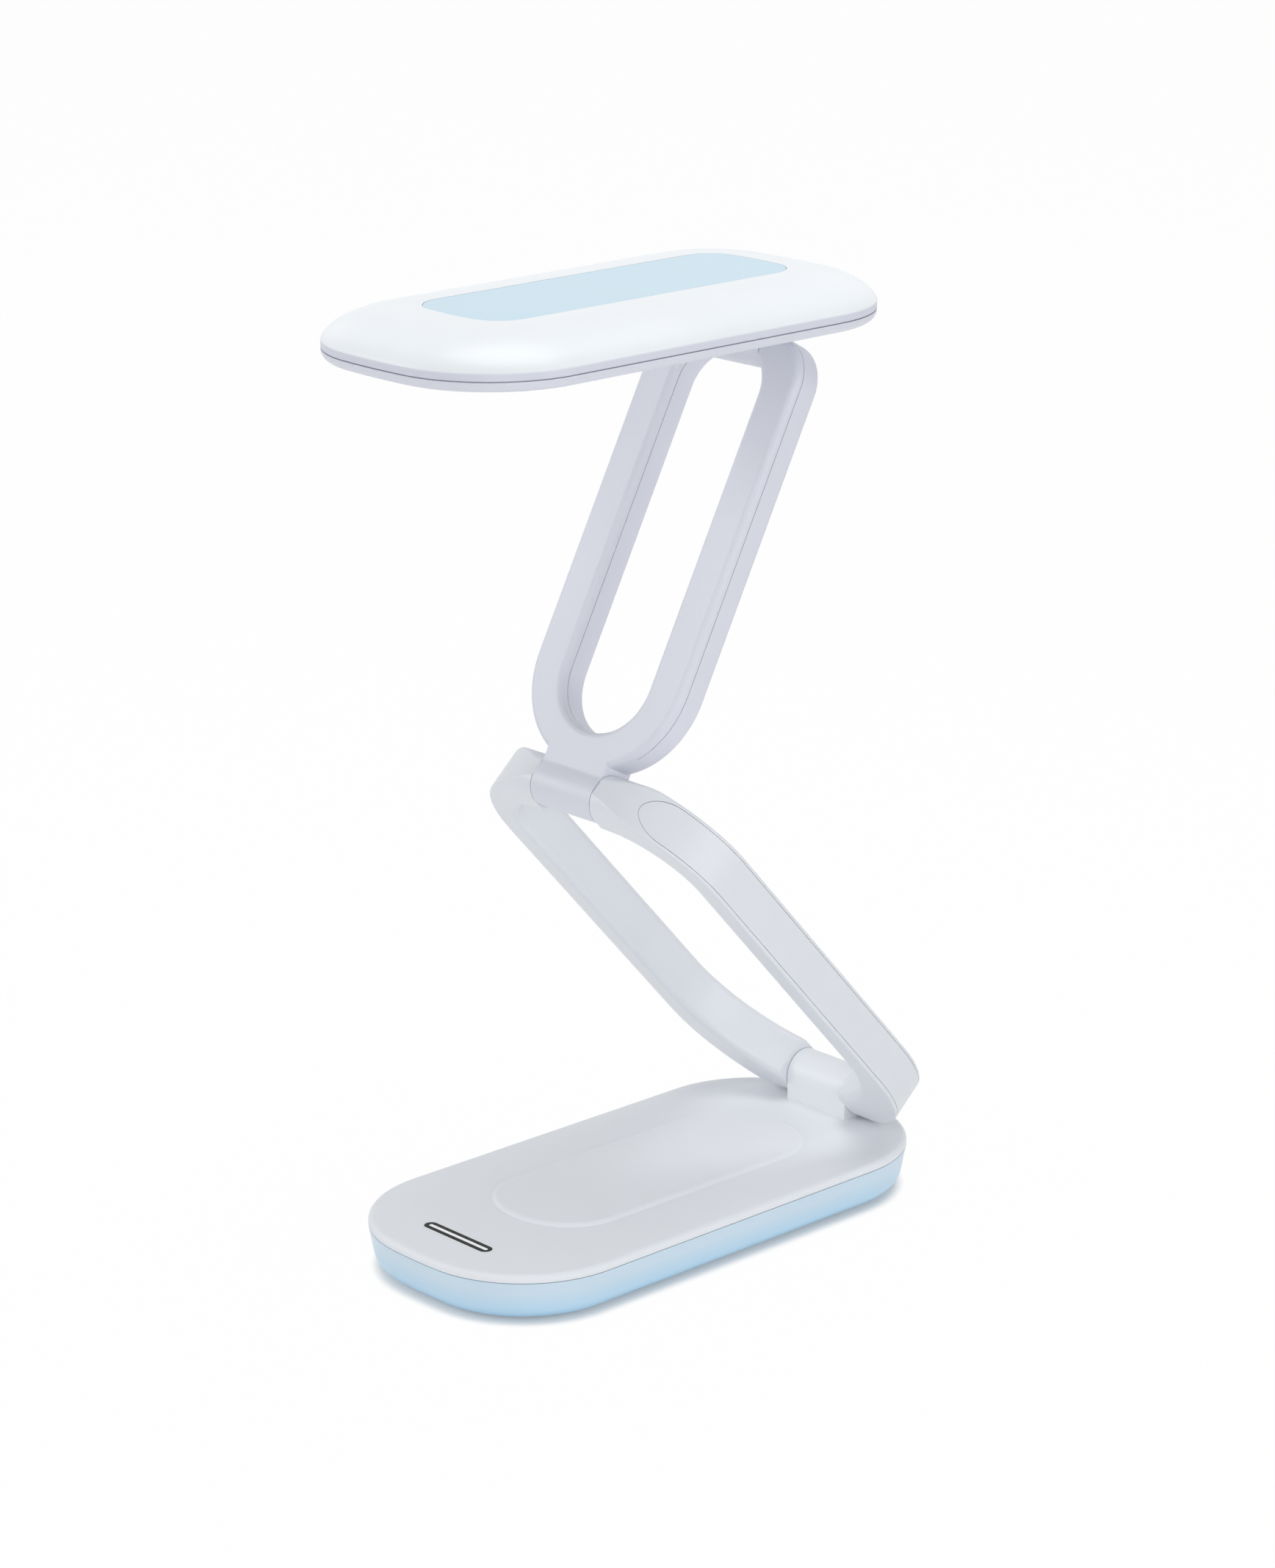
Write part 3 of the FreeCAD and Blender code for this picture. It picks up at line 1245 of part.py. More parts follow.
def leds():
    """Three rows of light-emitting diodes on the underside of the board."""
    chips = []
    rows, columns = 8, 3
    middle = f"(({lens_low} + {lens_high}) / 2)"
    for column in range(columns):
        for row in range(rows):
            x = f"led_pitch_x * {column - (columns - 1) / 2}"
            y = f"{middle} + led_pitch_y * {row - (rows - 1) / 2} - led_length / 2"
            chips.append(box(
                f"led_{column + 1}_{row + 1}", "led_width", "led_length", "led_height", x, y,
                f"{led_board_bottom} - led_height"))
    return keep(group("leds", chips), "head")


base_bottom_shell()
base_top_cover()
touch_bar()
touch_contact()
rubber_pad()
screws(
    "base_screws", base_screws_at, "screw_head_radius", "screw_head_height", "screw_radius", "screw_length",
    "(pad_height + washer_gap)")
control_board()
charge_board()
charging_socket()
counterweight()
battery()
washers(
    "base_hinge_washers", "washer_radius", "pin_radius", "knuckle_width", y=base_hinge_y, z="hinge_height")
lower_arm()
upper_arm()
head_top_shell()
head_panel()
head_bottom_frame()
diffuser()
reflector()
led_board()
leds()
screws(
    "head_screws", head_screws_at, "small_head_radius", "small_head_height", "small_screw_radius",
    "small_screw_length", "(head_underside + washer_gap)", "head")
washers("head_hinge_washers", "head_washer_radius", "head_pin_radius", "knuckle_width", "head")

doc.recompute()
faults = [o.Label for o in doc.Objects if {"Invalid", "Error"} & set(o.State)]
faults += [p.Label for p in parts if p.Shape.isNull() or not p.Shape.isValid()]
if faults:
    raise RuntimeError(f"These did not build: {sorted(set(faults))}")
os.makedirs("parts", exist_ok=True)
for part in parts:
    part.Shape.exportStep(f"parts/{part.Label}.step")
    print(f"{part.Label:24s} {len(part.Shape.Solids):3d} solids {part.Shape.Volume / 1000:9.3f} cm3")
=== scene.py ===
import math

import bmesh
import bpy
from mathutils import Matrix, Vector


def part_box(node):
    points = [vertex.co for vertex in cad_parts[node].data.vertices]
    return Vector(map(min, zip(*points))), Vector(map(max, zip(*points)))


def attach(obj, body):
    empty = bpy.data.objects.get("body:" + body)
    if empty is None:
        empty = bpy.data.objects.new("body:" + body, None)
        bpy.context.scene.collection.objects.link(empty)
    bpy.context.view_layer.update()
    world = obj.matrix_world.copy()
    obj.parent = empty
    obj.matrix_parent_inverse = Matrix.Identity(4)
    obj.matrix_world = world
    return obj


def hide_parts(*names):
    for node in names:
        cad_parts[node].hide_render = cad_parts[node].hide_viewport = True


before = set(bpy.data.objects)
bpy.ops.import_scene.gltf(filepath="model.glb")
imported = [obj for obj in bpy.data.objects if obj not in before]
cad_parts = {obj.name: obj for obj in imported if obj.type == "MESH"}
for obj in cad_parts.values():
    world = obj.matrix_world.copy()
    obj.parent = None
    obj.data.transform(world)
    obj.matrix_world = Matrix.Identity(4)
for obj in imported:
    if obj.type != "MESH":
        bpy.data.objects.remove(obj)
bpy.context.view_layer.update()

mm = 0.001
print("frame loaded:", len(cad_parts), "nodes")


def linearColour(hexCode):  # sRGB hex to linear RGBA
    channels = [int(hexCode[i:i + 2], 16) / 255 for i in (1, 3, 5)]
    return [c / 12.92 if c <= 0.04045 else ((c + 0.055) / 1.055) ** 2.4 for c in channels] + [1.0]


# Adds a node with its settings. Each input, by name or number, gets a value or a link.
def addNode(tree, kind, settings=None, inputs=None):
    node = tree.nodes.new(kind)
    for name, setting in (settings or {}).items():
        setattr(node, name, setting)
    for key, source in (inputs or {}).items():
        if isinstance(source, bpy.types.NodeSocket):
            tree.links.new(source, node.inputs[key])
        else:
            node.inputs[key].default_value = source
    return node


def newMaterial(name):
    material = bpy.data.materials.new(name)
    material.use_nodes = True
    material.node_tree.nodes.clear()
    return material, material.node_tree


def shade(colour, amount):  # a linear colour made a little lighter or darker
    return [min(1.0, c * (1 + amount)) for c in colour[:3]] + [1.0]


# Mixed colours go in and out of a Mix node by number: 0 is its factor, 6 and 7 its two colours, and
# output 2 the result.
mixRgb = {"data_type": "RGBA"}
noiseBand = {"From Min": 0.3, "From Max": 0.7}  # where nearly all of a noise's values lie


# Moulded plastics. The tool's spark-eroded grain gives a soft sheen, and thick and thin walls cool
# at different rates, so colour and gloss drift slowly over a face.
def mouldedPlastic(name, look):
    material, tree = newMaterial(name)
    place = addNode(tree, "ShaderNodeTexCoord").outputs["Object"]
    drift = addNode(tree, "ShaderNodeTexNoise", inputs={
        "Vector": place, "Scale": 1 / (look["driftSize"] * mm), "Detail": 2.0, "Roughness": 0.5})
    grain = addNode(tree, "ShaderNodeTexNoise", inputs={
        "Vector": place, "Scale": 1 / (look["grainSize"] * mm), "Detail": 4.0, "Roughness": 0.6})
    level = addNode(tree, "ShaderNodeMapRange", inputs={"Value": drift.outputs["Fac"], **noiseBand})
    base = linearColour(look["colour"])
    colour = addNode(tree, "ShaderNodeMix", mixRgb, {
        0: level.outputs["Result"], 6: shade(base, -look["drift"]),
        7: shade(base, look["drift"])}).outputs[2]
    if "paintedShadeColour" in look:  # painted shade: a second, darker colour at the piece's foot, which fades out upwards
        height = addNode(tree, "ShaderNodeSeparateXYZ", inputs={"Vector": place})
        paintedShadeFade = addNode(tree, "ShaderNodeMapRange", inputs={
            "Value": height.outputs["Z"], "From Min": look["paintedShadeHeights"][0] * mm,
            "From Max": look["paintedShadeHeights"][1] * mm})
        colour = addNode(tree, "ShaderNodeMix", mixRgb, {
            0: paintedShadeFade.outputs["Result"], 6: linearColour(look["paintedShadeColour"]), 7: colour}).outputs[2]
    gloss = addNode(tree, "ShaderNodeMapRange", inputs={
        "Value": level.outputs["Result"], "To Min": look["roughness"] - look["glossDrift"],
        "To Max": look["roughness"] + look["glossDrift"]})
    bump = addNode(tree, "ShaderNodeBump", inputs={
        "Height": grain.outputs["Fac"], "Strength": look["grainStrength"],
        "Distance": look["grainDepth"] * mm})
    shader = addNode(tree, "ShaderNodeBsdfPrincipled", inputs={
        "Base Color": colour, "Roughness": gloss.outputs["Result"], "IOR": look["ior"],
        "Specular IOR Level": look["specular"], "Normal": bump.outputs["Normal"]})
    addNode(tree, "ShaderNodeOutputMaterial", inputs={"Surface": shader.outputs[0]})
    return material


# What the plastics share. driftSize, grainSize and grainDepth are in millimetres. The real grain is
# about 0.15 mm across: it is drawn several times coarser, so that it shows at all.
plasticDefaults = {
    "drift": 0.012, "driftSize": 30.0, "grainSize": 0.7, "grainDepth": 0.05, "grainStrength": 0.25,
    "roughness": 0.38, "glossDrift": 0.04, "ior": 1.53, "specular": 0.5,
}
plasticLooks = {
    # ABS moulded on a finely eroded tool: a clean white with a broad, soft highlight. The upright
    # lip is painted a cooler grey that fades out upwards: painted shade on its steep face
    "whiteAbsMoulded": {
        "colour": "#EFF3F6", "paintedShadeColour": "#DADCE8", "paintedShadeHeights": (287.7, 288.4),
        "driftSize": 38.0, "roughness": 0.36},
    # the same ABS on a coarser tool: flatter, so that fingers on the cover leave little to see
    "baseWhiteAbsMoulded": {"colour": "#F0F3F7", "driftSize": 34.0, "roughness": 0.44},
    # ABS in thick arm walls: a shade greyer, because less light comes back out of it
    "greyWhiteAbsMoulded": {"colour": "#E7EAEF"},
    # ABS with a toner against yellowing: white with a faint violet cast in its shaded sides. On the
    # head's bottom frame this darker tone is painted shade for the upright band under the seam
    "coolWhiteAbsMoulded": {"colour": "#DFE1EB"},
    # ABS with a little blue in it, painted a fuller blue at the foot that fades out upwards:
    # painted shade where the wall turns down from the high light, which leaves the upper wall pale
    "paleBlueAbsMoulded": {
        "colour": "#D6E9F6", "paintedShadeColour": "#B3E0FB", "paintedShadeHeights": (0.5, 11.0),
        "drift": 0.015, "driftSize": 34.0, "roughness": 0.33},
    # tinted acrylic from a satin tool: an even, icy blue, smoother than the ABS round it
    "icyBlueAcrylicMoulded": {
        "colour": "#C5DFEC", "grainSize": 0.5, "grainDepth": 0.03, "grainStrength": 0.2,
        "roughness": 0.34, "glossDrift": 0.03, "ior": 1.49},
    # polished polystyrene full of white pigment: bright and glossy, to throw the light down
    "whiteReflectorMoulded": {
        "colour": "#F4F4F2", "drift": 0.01, "driftSize": 20.0, "grainSize": 0.5, "grainDepth": 0.03,
        "grainStrength": 0.2, "roughness": 0.22, "glossDrift": 0.03, "ior": 1.59},
    # uncoloured nylon washers: a waxy cream that is dull and a little uneven
    "naturalNylonMoulded": {
        "colour": "#DEDCD2", "drift": 0.02, "driftSize": 3.0, "grainSize": 0.4, "grainDepth": 0.03,
        "grainStrength": 0.3, "roughness": 0.45, "glossDrift": 0.05},
    # drawn PVC round the wires: smooth and slightly shiny
    "whitePvcSleeve": {
        "colour": "#E4E4E4", "drift": 0.02, "driftSize": 6.0, "grainSize": 0.4, "grainDepth": 0.03,
        "grainStrength": 0.2, "roughness": 0.4},
    # a deep black that stays dark when it is seen from low down: painted dark reflection, put round
    # the chrome touch bar where its curved sides reflect dark
    "paintedDarkReflectionBlack": {
        "colour": "#0B0C0E", "drift": 0.05, "driftSize": 4.0, "grainSize": 0.4, "grainDepth": 0.03,
        "grainStrength": 0.2, "roughness": 0.42, "ior": 1.58, "specular": 0.1},
    # pressed silicone: soft, dry and without a highlight, so that it grips the table
    "charcoalSiliconeMoulded": {
        "colour": "#3A3B3E", "drift": 0.06, "driftSize": 3.0, "grainSize": 0.3,
        "grainStrength": 0.4, "roughness": 0.7, "glossDrift": 0.06, "ior": 1.41},
    # phosphor set in clear resin: a flat yellow with a granular face
    "yellowPhosphorCast": {
        "colour": "#EBD98A", "drift": 0.05, "driftSize": 1.0, "grainSize": 0.2, "grainDepth": 0.02,
        "grainStrength": 0.3, "roughness": 0.5, "glossDrift": 0.05},
    # film shrunk over the cell: a strong blue with slack, shiny ripples
    "blueShrinkWrap": {
        "colour": "#2F5FA8", "drift": 0.08, "driftSize": 12.0, "grainSize": 1.2, "grainDepth": 0.1,
        "grainStrength": 0.3, "glossDrift": 0.06},
}
finishes = {
    name: mouldedPlastic(name, {**plasticDefaults, **look}) for name, look in plasticLooks.items()}


# Metals. Turning, grinding and rolling leave fine lines along one way, and plating smooths them
# away; handling leaves dull patches.
def workedMetal(name, look):
    material, tree = newMaterial(name)
    place = addNode(tree, "ShaderNodeTexCoord").outputs["Object"]
    stretch = addNode(tree, "ShaderNodeMapping", inputs={
        "Vector": place, "Scale": [share / (look["lineSize"] * mm) for share in look["across"]]})
    lines = addNode(tree, "ShaderNodeTexNoise", inputs={
        "Vector": stretch.outputs["Vector"], "Scale": 1.0, "Detail": 3.0, "Roughness": 0.6})
    handling = addNode(tree, "ShaderNodeTexNoise", inputs={
        "Vector": place, "Scale": 1 / (look["smudgeSize"] * mm), "Detail": 3.0, "Roughness": 0.6})
    level = addNode(tree, "ShaderNodeMapRange", inputs={
        "Value": handling.outputs["Fac"], **noiseBand})
    base = linearColour(look["colour"])
    colour = addNode(tree, "ShaderNodeMix", mixRgb, {
        0: level.outputs["Result"], 6: shade(base, -look["drift"]),
        7: shade(base, look["drift"])})
    gloss = addNode(tree, "ShaderNodeMapRange", inputs={
        "Value": level.outputs["Result"], "To Min": look["roughness"] - look["glossDrift"],
        "To Max": look["roughness"] + look["glossDrift"]})
    bump = addNode(tree, "ShaderNodeBump", inputs={
        "Height": lines.outputs["Fac"], "Strength": look["lineStrength"],
        "Distance": look["lineDepth"] * mm})
    shader = addNode(tree, "ShaderNodeBsdfPrincipled", inputs={
        "Base Color": colour.outputs[2], "Roughness": gloss.outputs["Result"], "Metallic": 1.0,
        "Normal": bump.outputs["Normal"]})
    addNode(tree, "ShaderNodeOutputMaterial", inputs={"Surface": shader.outputs[0]})
    return material


# smudgeSize, lineSize and lineDepth are in millimetres, and across is how much the lines crowd
# along each axis. Real tool lines are finer than 0.1 mm: they are drawn coarser, so that they show.
metalLooks = {
    # chromium plated on polished plastic: a mirror, with next to no line left in it
    "brightChromePlated": {
        "colour": "#E6E8EA", "drift": 0.01, "smudgeSize": 6.0, "lineSize": 0.5,
        "across": (0.2, 1, 1), "lineStrength": 0.05, "lineDepth": 0.01,
        "roughness": 0.07, "glossDrift": 0.02},
    # bright zinc on rolled threads: silver with a bluish, slightly cloudy shine
    "zincPlatedSteel": {
        "colour": "#B9BABD", "drift": 0.04, "smudgeSize": 2.0, "lineSize": 0.25,
        "across": (1, 1, 0.2), "lineStrength": 0.3, "lineDepth": 0.02,
        "roughness": 0.34, "glossDrift": 0.06},
    # pins ground between wheels: fine rings round a grey, satin bar
    "groundSteel": {
        "colour": "#A9ABB0", "drift": 0.03, "smudgeSize": 5.0, "lineSize": 0.25,
        "across": (1, 0.15, 0.15), "lineStrength": 0.3, "lineDepth": 0.02,
        "roughness": 0.34, "glossDrift": 0.04},
    # brass straight from the lathe: a warm yellow with bright rings
    "turnedBrass": {
        "colour": "#D9BC72", "drift": 0.03, "smudgeSize": 1.5, "lineSize": 0.2,
        "across": (0.2, 0.2, 1), "lineStrength": 0.3, "lineDepth": 0.02,
        "roughness": 0.22, "glossDrift": 0.03},
    # hot-rolled plate: dark, dull scale with long streaks the way it was rolled
    "rolledIronPlate": {
        "colour": "#55565A", "drift": 0.10, "smudgeSize": 8.0, "lineSize": 0.6,
        "across": (1, 0.15, 1), "lineStrength": 0.4, "lineDepth": 0.05,
        "roughness": 0.5, "glossDrift": 0.08},
}
finishes.update({name: workedMetal(name, look) for name, look in metalLooks.items()})


# Circuit boards. Glass cloth lies under the solder mask, so a weave shows faintly through an even
# gloss. weave and depth are in millimetres. Real cloth is about 0.4 mm a thread: it is drawn
# coarser, so that it shows.
def printedBoard(name, look):
    material, tree = newMaterial(name)
    place = addNode(tree, "ShaderNodeTexCoord").outputs["Object"]
    wavesPerMetre = 1 / (look["weave"] * mm) / (2 * math.pi)
    warp = addNode(tree, "ShaderNodeTexWave", {"bands_direction": "X"}, {
        "Vector": place, "Scale": wavesPerMetre, "Distortion": look["waver"]})
    weft = addNode(tree, "ShaderNodeTexWave", {"bands_direction": "Y"}, {
        "Vector": place, "Scale": wavesPerMetre, "Distortion": look["waver"]})
    cloth = addNode(tree, "ShaderNodeMath", {"operation": "MULTIPLY"}, {
        0: warp.outputs["Fac"], 1: weft.outputs["Fac"]})
    base = linearColour(look["colour"])
    colour = addNode(tree, "ShaderNodeMix", mixRgb, {
        0: cloth.outputs["Value"], 6: shade(base, -look["contrast"]),
        7: shade(base, look["contrast"])})
    bump = addNode(tree, "ShaderNodeBump", inputs={
        "Height": cloth.outputs["Value"], "Strength": look["strength"],
        "Distance": look["depth"] * mm})
    shader = addNode(tree, "ShaderNodeBsdfPrincipled", inputs={
        "Base Color": colour.outputs[2], "Roughness": look["roughness"],
        "Normal": bump.outputs["Normal"]})
    addNode(tree, "ShaderNodeOutputMaterial", inputs={"Surface": shader.outputs[0]})
    return material


boardLooks = {
    # green mask over copper and cloth: dark, glassy green
    "greenSolderMask": {
        "colour": "#1E6B3A", "weave": 0.9, "waver": 0.4, "depth": 0.02, "strength": 0.3,
        "contrast": 0.16, "roughness": 0.3},
    # white mask on a lamp board: bright and almost plain, so that it reflects
    "whiteSolderMask": {
        "colour": "#EDEDE8", "weave": 0.9, "waver": 0.4, "depth": 0.02, "strength": 0.3,
        "contrast": 0.03, "roughness": 0.34},
}
finishes.update({name: printedBoard(name, look) for name, look in boardLooks.items()})


# Opal acrylic, cast in a sheet: milky, with a fine dimpled face that hides the lamps behind it.
# dimple, dimpleDepth and milkReach are in millimetres.
opalLook = {
    "colour": "#F3F4F1", "contrast": 0.03, "dimple": 1.1, "unevenness": 0.3, "dimpleDepth": 0.08,
    "dimpleStrength": 0.4, "roughness": 0.42, "ior": 1.49, "milk": 0.35, "milkReach": 3.0,
}


def opalSheet(name, look):
    material, tree = newMaterial(name)
    place = addNode(tree, "ShaderNodeTexCoord").outputs["Object"]
    cells = addNode(tree, "ShaderNodeTexVoronoi", {"feature": "SMOOTH_F1"}, {
        "Vector": place, "Scale": 1 / (look["dimple"] * mm), "Randomness": look["unevenness"]})
    base = linearColour(look["colour"])
    colour = addNode(tree, "ShaderNodeMix", mixRgb, {
        0: cells.outputs["Distance"], 6: shade(base, look["contrast"]),
        7: shade(base, -look["contrast"])})
    bump = addNode(tree, "ShaderNodeBump", inputs={
        "Height": cells.outputs["Distance"], "Strength": look["dimpleStrength"],
        "Distance": look["dimpleDepth"] * mm})
    shader = addNode(tree, "ShaderNodeBsdfPrincipled", inputs={
        "Base Color": colour.outputs[2], "Roughness": look["roughness"], "IOR": look["ior"],
        "Subsurface Weight": look["milk"], "Subsurface Radius": [look["milkReach"] * mm] * 3,
        "Subsurface Scale": 1.0, "Normal": bump.outputs["Normal"]})
    addNode(tree, "ShaderNodeOutputMaterial", inputs={"Surface": shader.outputs[0]})
    return material


finishes["opalAcrylicSheet"] = opalSheet("opalAcrylicSheet", opalLook)
print("materials made:", len(finishes))

nodeFinishes = {
    "whiteAbsMoulded": ["head_top_shell"],
    "baseWhiteAbsMoulded": ["base_top_cover"],
    "greyWhiteAbsMoulded": [
        "lower_arm_right", "lower_arm_left", "lower_arm_right_inlay", "lower_arm_left_inlay"],
    # on head_bottom_frame the darker cool white is painted shade on its band under the seam
    "coolWhiteAbsMoulded": ["upper_arm_front_shell", "upper_arm_rear_shell", "head_bottom_frame"],
    "paleBlueAbsMoulded": ["base_bottom_shell"],
    "icyBlueAcrylicMoulded": ["head_panel"],
    "whiteReflectorMoulded": ["reflector"],
    "naturalNylonMoulded": ["base_hinge_washers", "elbow_washers", "head_hinge_washers"],
    "whitePvcSleeve": ["lower_arm_wire", "upper_arm_wire"],
    "charcoalSiliconeMoulded": ["rubber_pad"],
    "yellowPhosphorCast": ["leds"],
    "blueShrinkWrap": ["battery"],
    "brightChromePlated": ["touch_bar"],
    "zincPlatedSteel": ["base_screws", "upper_arm_screws", "head_screws", "charging_socket"],
    "groundSteel": ["base_hinge_pin", "elbow_pin", "head_hinge_pin"],
    "turnedBrass": ["touch_contact"],
    "rolledIronPlate": ["counterweight"],
    "greenSolderMask": ["control_board", "charge_board"],
    "whiteSolderMask": ["led_board"],
    "opalAcrylicSheet": ["diffuser"],
}
for finish, names in nodeFinishes.items():
    for name in names:
        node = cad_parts[name]
        node.data.materials.clear()
        node.data.materials.append(finishes[finish])


def pieceFrom(bm, name, finish, body):  # a finished mesh object that rides on a body
    mesh = bpy.data.meshes.new(name)
    bm.to_mesh(mesh)
    bm.free()
    mesh.materials.append(finishes[finish])
    piece = bpy.data.objects.new(name, mesh)
    bpy.context.scene.collection.objects.link(piece)
    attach(piece, body)
    return piece


def pillDisc(bm, length, width, segments=64):  # a flat pill in XY, round at both ends
    turn = Matrix.Rotation(math.pi / segments, 4, "Z")
    bmesh.ops.create_circle(bm, cap_ends=True, radius=width / 2, segments=segments, matrix=turn)
    reach = (length - width) / 2
    for side in (-1, 1):
        moved = [v for v in bm.verts if v.co.x * side > 0]
        bmesh.ops.translate(bm, verts=moved, vec=(side * reach, 0, 0))


# The touch bar: a chrome strip let into a black ring, both a hair proud of the cover round them.
# The black ring is painted dark reflection, for the dark that the chrome bar's curved sides
# reflect.
# All in millimetres. middle is from the middle of the bar's seat, foot is the height of its hidden
# underside, and steps go inwards and upwards from there.
touchLook = {
    "darkReflectionRing": {
        "length": 29.2, "width": 4.5, "middle": (0.2, -0.2), "foot": 15.9,
        "steps": ((0, 0.65), (0.12, 0.12), (1.2, 0.02))},
    "strip": {
        "length": 26.4, "width": 1.45, "middle": (0.45, -0.3), "foot": 16.1,
        "steps": ((0, 0.53), (0.12, 0.08), (0.25, 0.03))},
}


def makePill(name, look, finish):
    low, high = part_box("touch_bar")
    across, along = look["middle"]
    bm = bmesh.new()
    pillDisc(bm, look["length"] * mm, look["width"] * mm)
    cap = bm.faces[:]
    for inwards, upwards in look["steps"]:
        bmesh.ops.inset_individual(bm, faces=cap, thickness=inwards * mm, depth=upwards * mm)
    bmesh.ops.holes_fill(bm, edges=[e for e in bm.edges if e.is_boundary], sides=0)
    bmesh.ops.recalc_face_normals(bm, faces=bm.faces[:])
    middle = Vector((across * mm, (low.y + high.y) / 2 + along * mm, look["foot"] * mm))
    bmesh.ops.translate(bm, verts=bm.verts[:], vec=middle)
    return pieceFrom(bm, name, finish, "base")


# the black ring is painted dark reflection along both sides of the chrome strip
makePill("touch_bar_painted_dark_reflection", touchLook["darkReflectionRing"], "paintedDarkReflectionBlack")
touchStrip = makePill("touch_bar_strip", touchLook["strip"], "brightChromePlated")
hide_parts("touch_bar")
print("touch bar trim made")


# The studio. Sizes are in metres and powers in watts. floorLift and contactLift are how far the
# floor is lifted to white away from the lamp and under its edge, contactReach is how far the change
# between them spreads, and contactBand is the openness at which it starts and ends.
stageLook = {
    "floorSize": 6.0, "floorColour": "#F7F7F7", "fibresPerMetre": 900.0, "fibreContrast": 0.01,
    "floorLift": 0.98, "contactLift": 0.2, "contactReach": 0.0045, "contactBand": (0.35, 0.85),
    "fillColour": "#F4F6FA", "fill": 0.30, "aim": (0, 0, 0.13),
    "softboxes": {
        "overhead": {"place": (0.0, 0.1, 1.15), "size": 0.9, "power": 5.0},
        "frontLeft": {"place": (-1.3, -1.3, 0.75), "size": 1.0, "power": 7.2},
        "front": {"place": (0.6, -1.5, 0.9), "size": 1.0, "power": 3.4},
        "frontRightLow": {"place": (1.3, -0.9, 0.25), "size": 1.0, "power": 5.8},
        "right": {"place": (1.0, 0.35, 0.35), "size": 0.8, "power": 2.3},
        "left": {"place": (-1.5, 0.0, 0.8), "size": 1.2, "power": 1.6},
        "rear": {"place": (-0.5, 1.5, 0.9), "size": 1.2, "power": 1.2},
    },
}


def brightRays(tree):  # 1 for the rays that see the white background
    rays = addNode(tree, "ShaderNodeLightPath")
    seen = rays.outputs["Is Camera Ray"]
    for kind in ("Is Glossy Ray", "Is Transmission Ray"):
        seen = addNode(tree, "ShaderNodeMath", {"operation": "MAXIMUM"}, {
            0: seen, 1: rays.outputs[kind]}).outputs["Value"]
    return seen


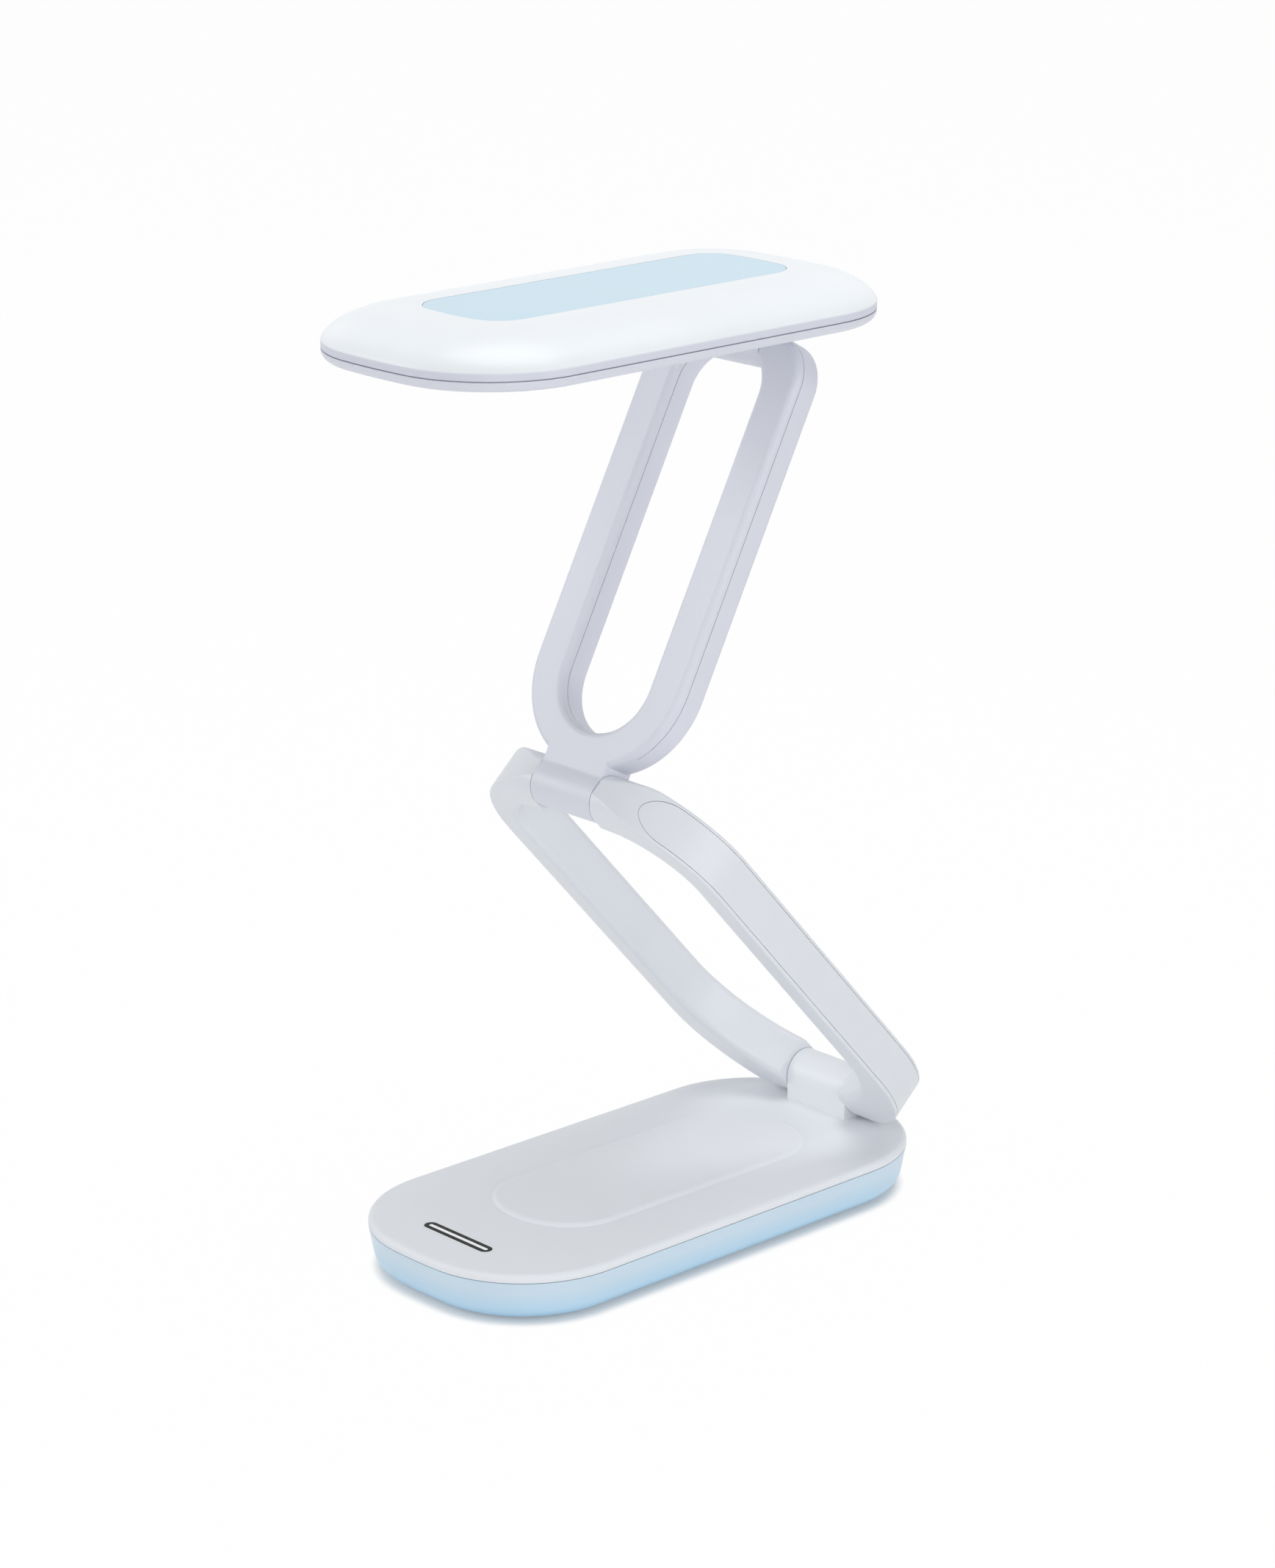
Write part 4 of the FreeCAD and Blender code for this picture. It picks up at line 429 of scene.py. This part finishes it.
# The floor is lifted to white where the camera, metal or glass sees it, but less close to the lamp,
# where ambient occlusion finds it closed in. There the floor's own shading keeps the contact
# shadow, and the smaller lift paints a contact shadow as well.
def makeStage():
    bm = bmesh.new()
    bmesh.ops.create_grid(bm, x_segments=1, y_segments=1, size=stageLook["floorSize"] / 2)
    mesh = bpy.data.meshes.new("studio_floor")
    bm.to_mesh(mesh)
    bm.free()
    # a roll of uncoated paper: dead matt, with a faint fibre
    material, tree = newMaterial("mattePaperSweep")
    place = addNode(tree, "ShaderNodeTexCoord").outputs["Object"]
    fibre = addNode(tree, "ShaderNodeTexNoise", inputs={
        "Vector": place, "Scale": stageLook["fibresPerMetre"], "Detail": 3.0})
    level = addNode(tree, "ShaderNodeMapRange", inputs={"Value": fibre.outputs["Fac"], **noiseBand})
    base = linearColour(stageLook["floorColour"])
    colour = addNode(tree, "ShaderNodeMix", mixRgb, {
        0: level.outputs["Result"], 6: shade(base, -stageLook["fibreContrast"]),
        7: shade(base, stageLook["fibreContrast"])})
    paper = addNode(tree, "ShaderNodeBsdfDiffuse", inputs={"Color": colour.outputs[2]})
    glow = addNode(tree, "ShaderNodeEmission", inputs={"Color": (1, 1, 1, 1), "Strength": 1.0})
    near = addNode(tree, "ShaderNodeAmbientOcclusion", {"samples": 8}, {
        "Distance": stageLook["contactReach"]})
    away = addNode(tree, "ShaderNodeMapRange", inputs={
        "Value": near.outputs["AO"], "From Min": stageLook["contactBand"][0],
        "From Max": stageLook["contactBand"][1], "To Min": stageLook["contactLift"],
        "To Max": stageLook["floorLift"]})
    lift = addNode(tree, "ShaderNodeMath", {"operation": "MULTIPLY"}, {
        0: brightRays(tree), 1: away.outputs["Result"]})
    mixed = addNode(tree, "ShaderNodeMixShader", inputs={
        0: lift.outputs["Value"], 1: paper.outputs[0], 2: glow.outputs[0]})
    addNode(tree, "ShaderNodeOutputMaterial", inputs={"Surface": mixed.outputs[0]})
    mesh.materials.append(material)
    floor = bpy.data.objects.new("studio_floor", mesh)
    bpy.context.scene.collection.objects.link(floor)


def makeWorld():
    world = bpy.data.worlds.new("studioWorld")
    world.use_nodes = True
    tree = world.node_tree
    tree.nodes.clear()
    fill = addNode(tree, "ShaderNodeBackground", inputs={
        "Color": linearColour(stageLook["fillColour"]), "Strength": stageLook["fill"]})
    white = addNode(tree, "ShaderNodeBackground", inputs={"Color": (1, 1, 1, 1), "Strength": 1.0})
    mixed = addNode(tree, "ShaderNodeMixShader", inputs={
        0: brightRays(tree), 1: fill.outputs[0], 2: white.outputs[0]})
    addNode(tree, "ShaderNodeOutputWorld", inputs={"Surface": mixed.outputs[0]})
    bpy.context.scene.world = world


def makeSoftboxes():
    target = Vector(stageLook["aim"])
    for name, box in stageLook["softboxes"].items():
        light = bpy.data.lights.new(name, "AREA")
        light.shape = "DISK"
        light.size = box["size"]
        light.energy = box["power"]
        lamp = bpy.data.objects.new(name, light)
        lamp.location = box["place"]
        lamp.rotation_euler = (target - lamp.location).to_track_quat("-Z", "Y").to_euler()
        bpy.context.scene.collection.objects.link(lamp)


makeStage()
makeWorld()
makeSoftboxes()

# place is in metres, the angles are in degrees, and lens and sensor are in millimetres
cameraLook = {
    "place": (0.93927, -0.87775, 0.54644), "azimuth": 47.02, "elevation": 17.44,
    "lens": 102.275, "sensor": 36.0,
}


def makeCamera():
    data = bpy.data.cameras.new("threeQuarterView")
    data.lens = cameraLook["lens"]
    data.sensor_fit = "AUTO"
    data.sensor_width = cameraLook["sensor"]
    camera = bpy.data.objects.new("threeQuarterView", data)
    camera.location = cameraLook["place"]
    tilt = math.radians(90 - cameraLook["elevation"])
    camera.rotation_euler = (tilt, 0, math.radians(cameraLook["azimuth"]))
    bpy.context.scene.collection.objects.link(camera)
    bpy.context.scene.camera = camera


makeCamera()
bpy.context.scene.view_settings.view_transform = "Standard"
print("stage, light and camera set")
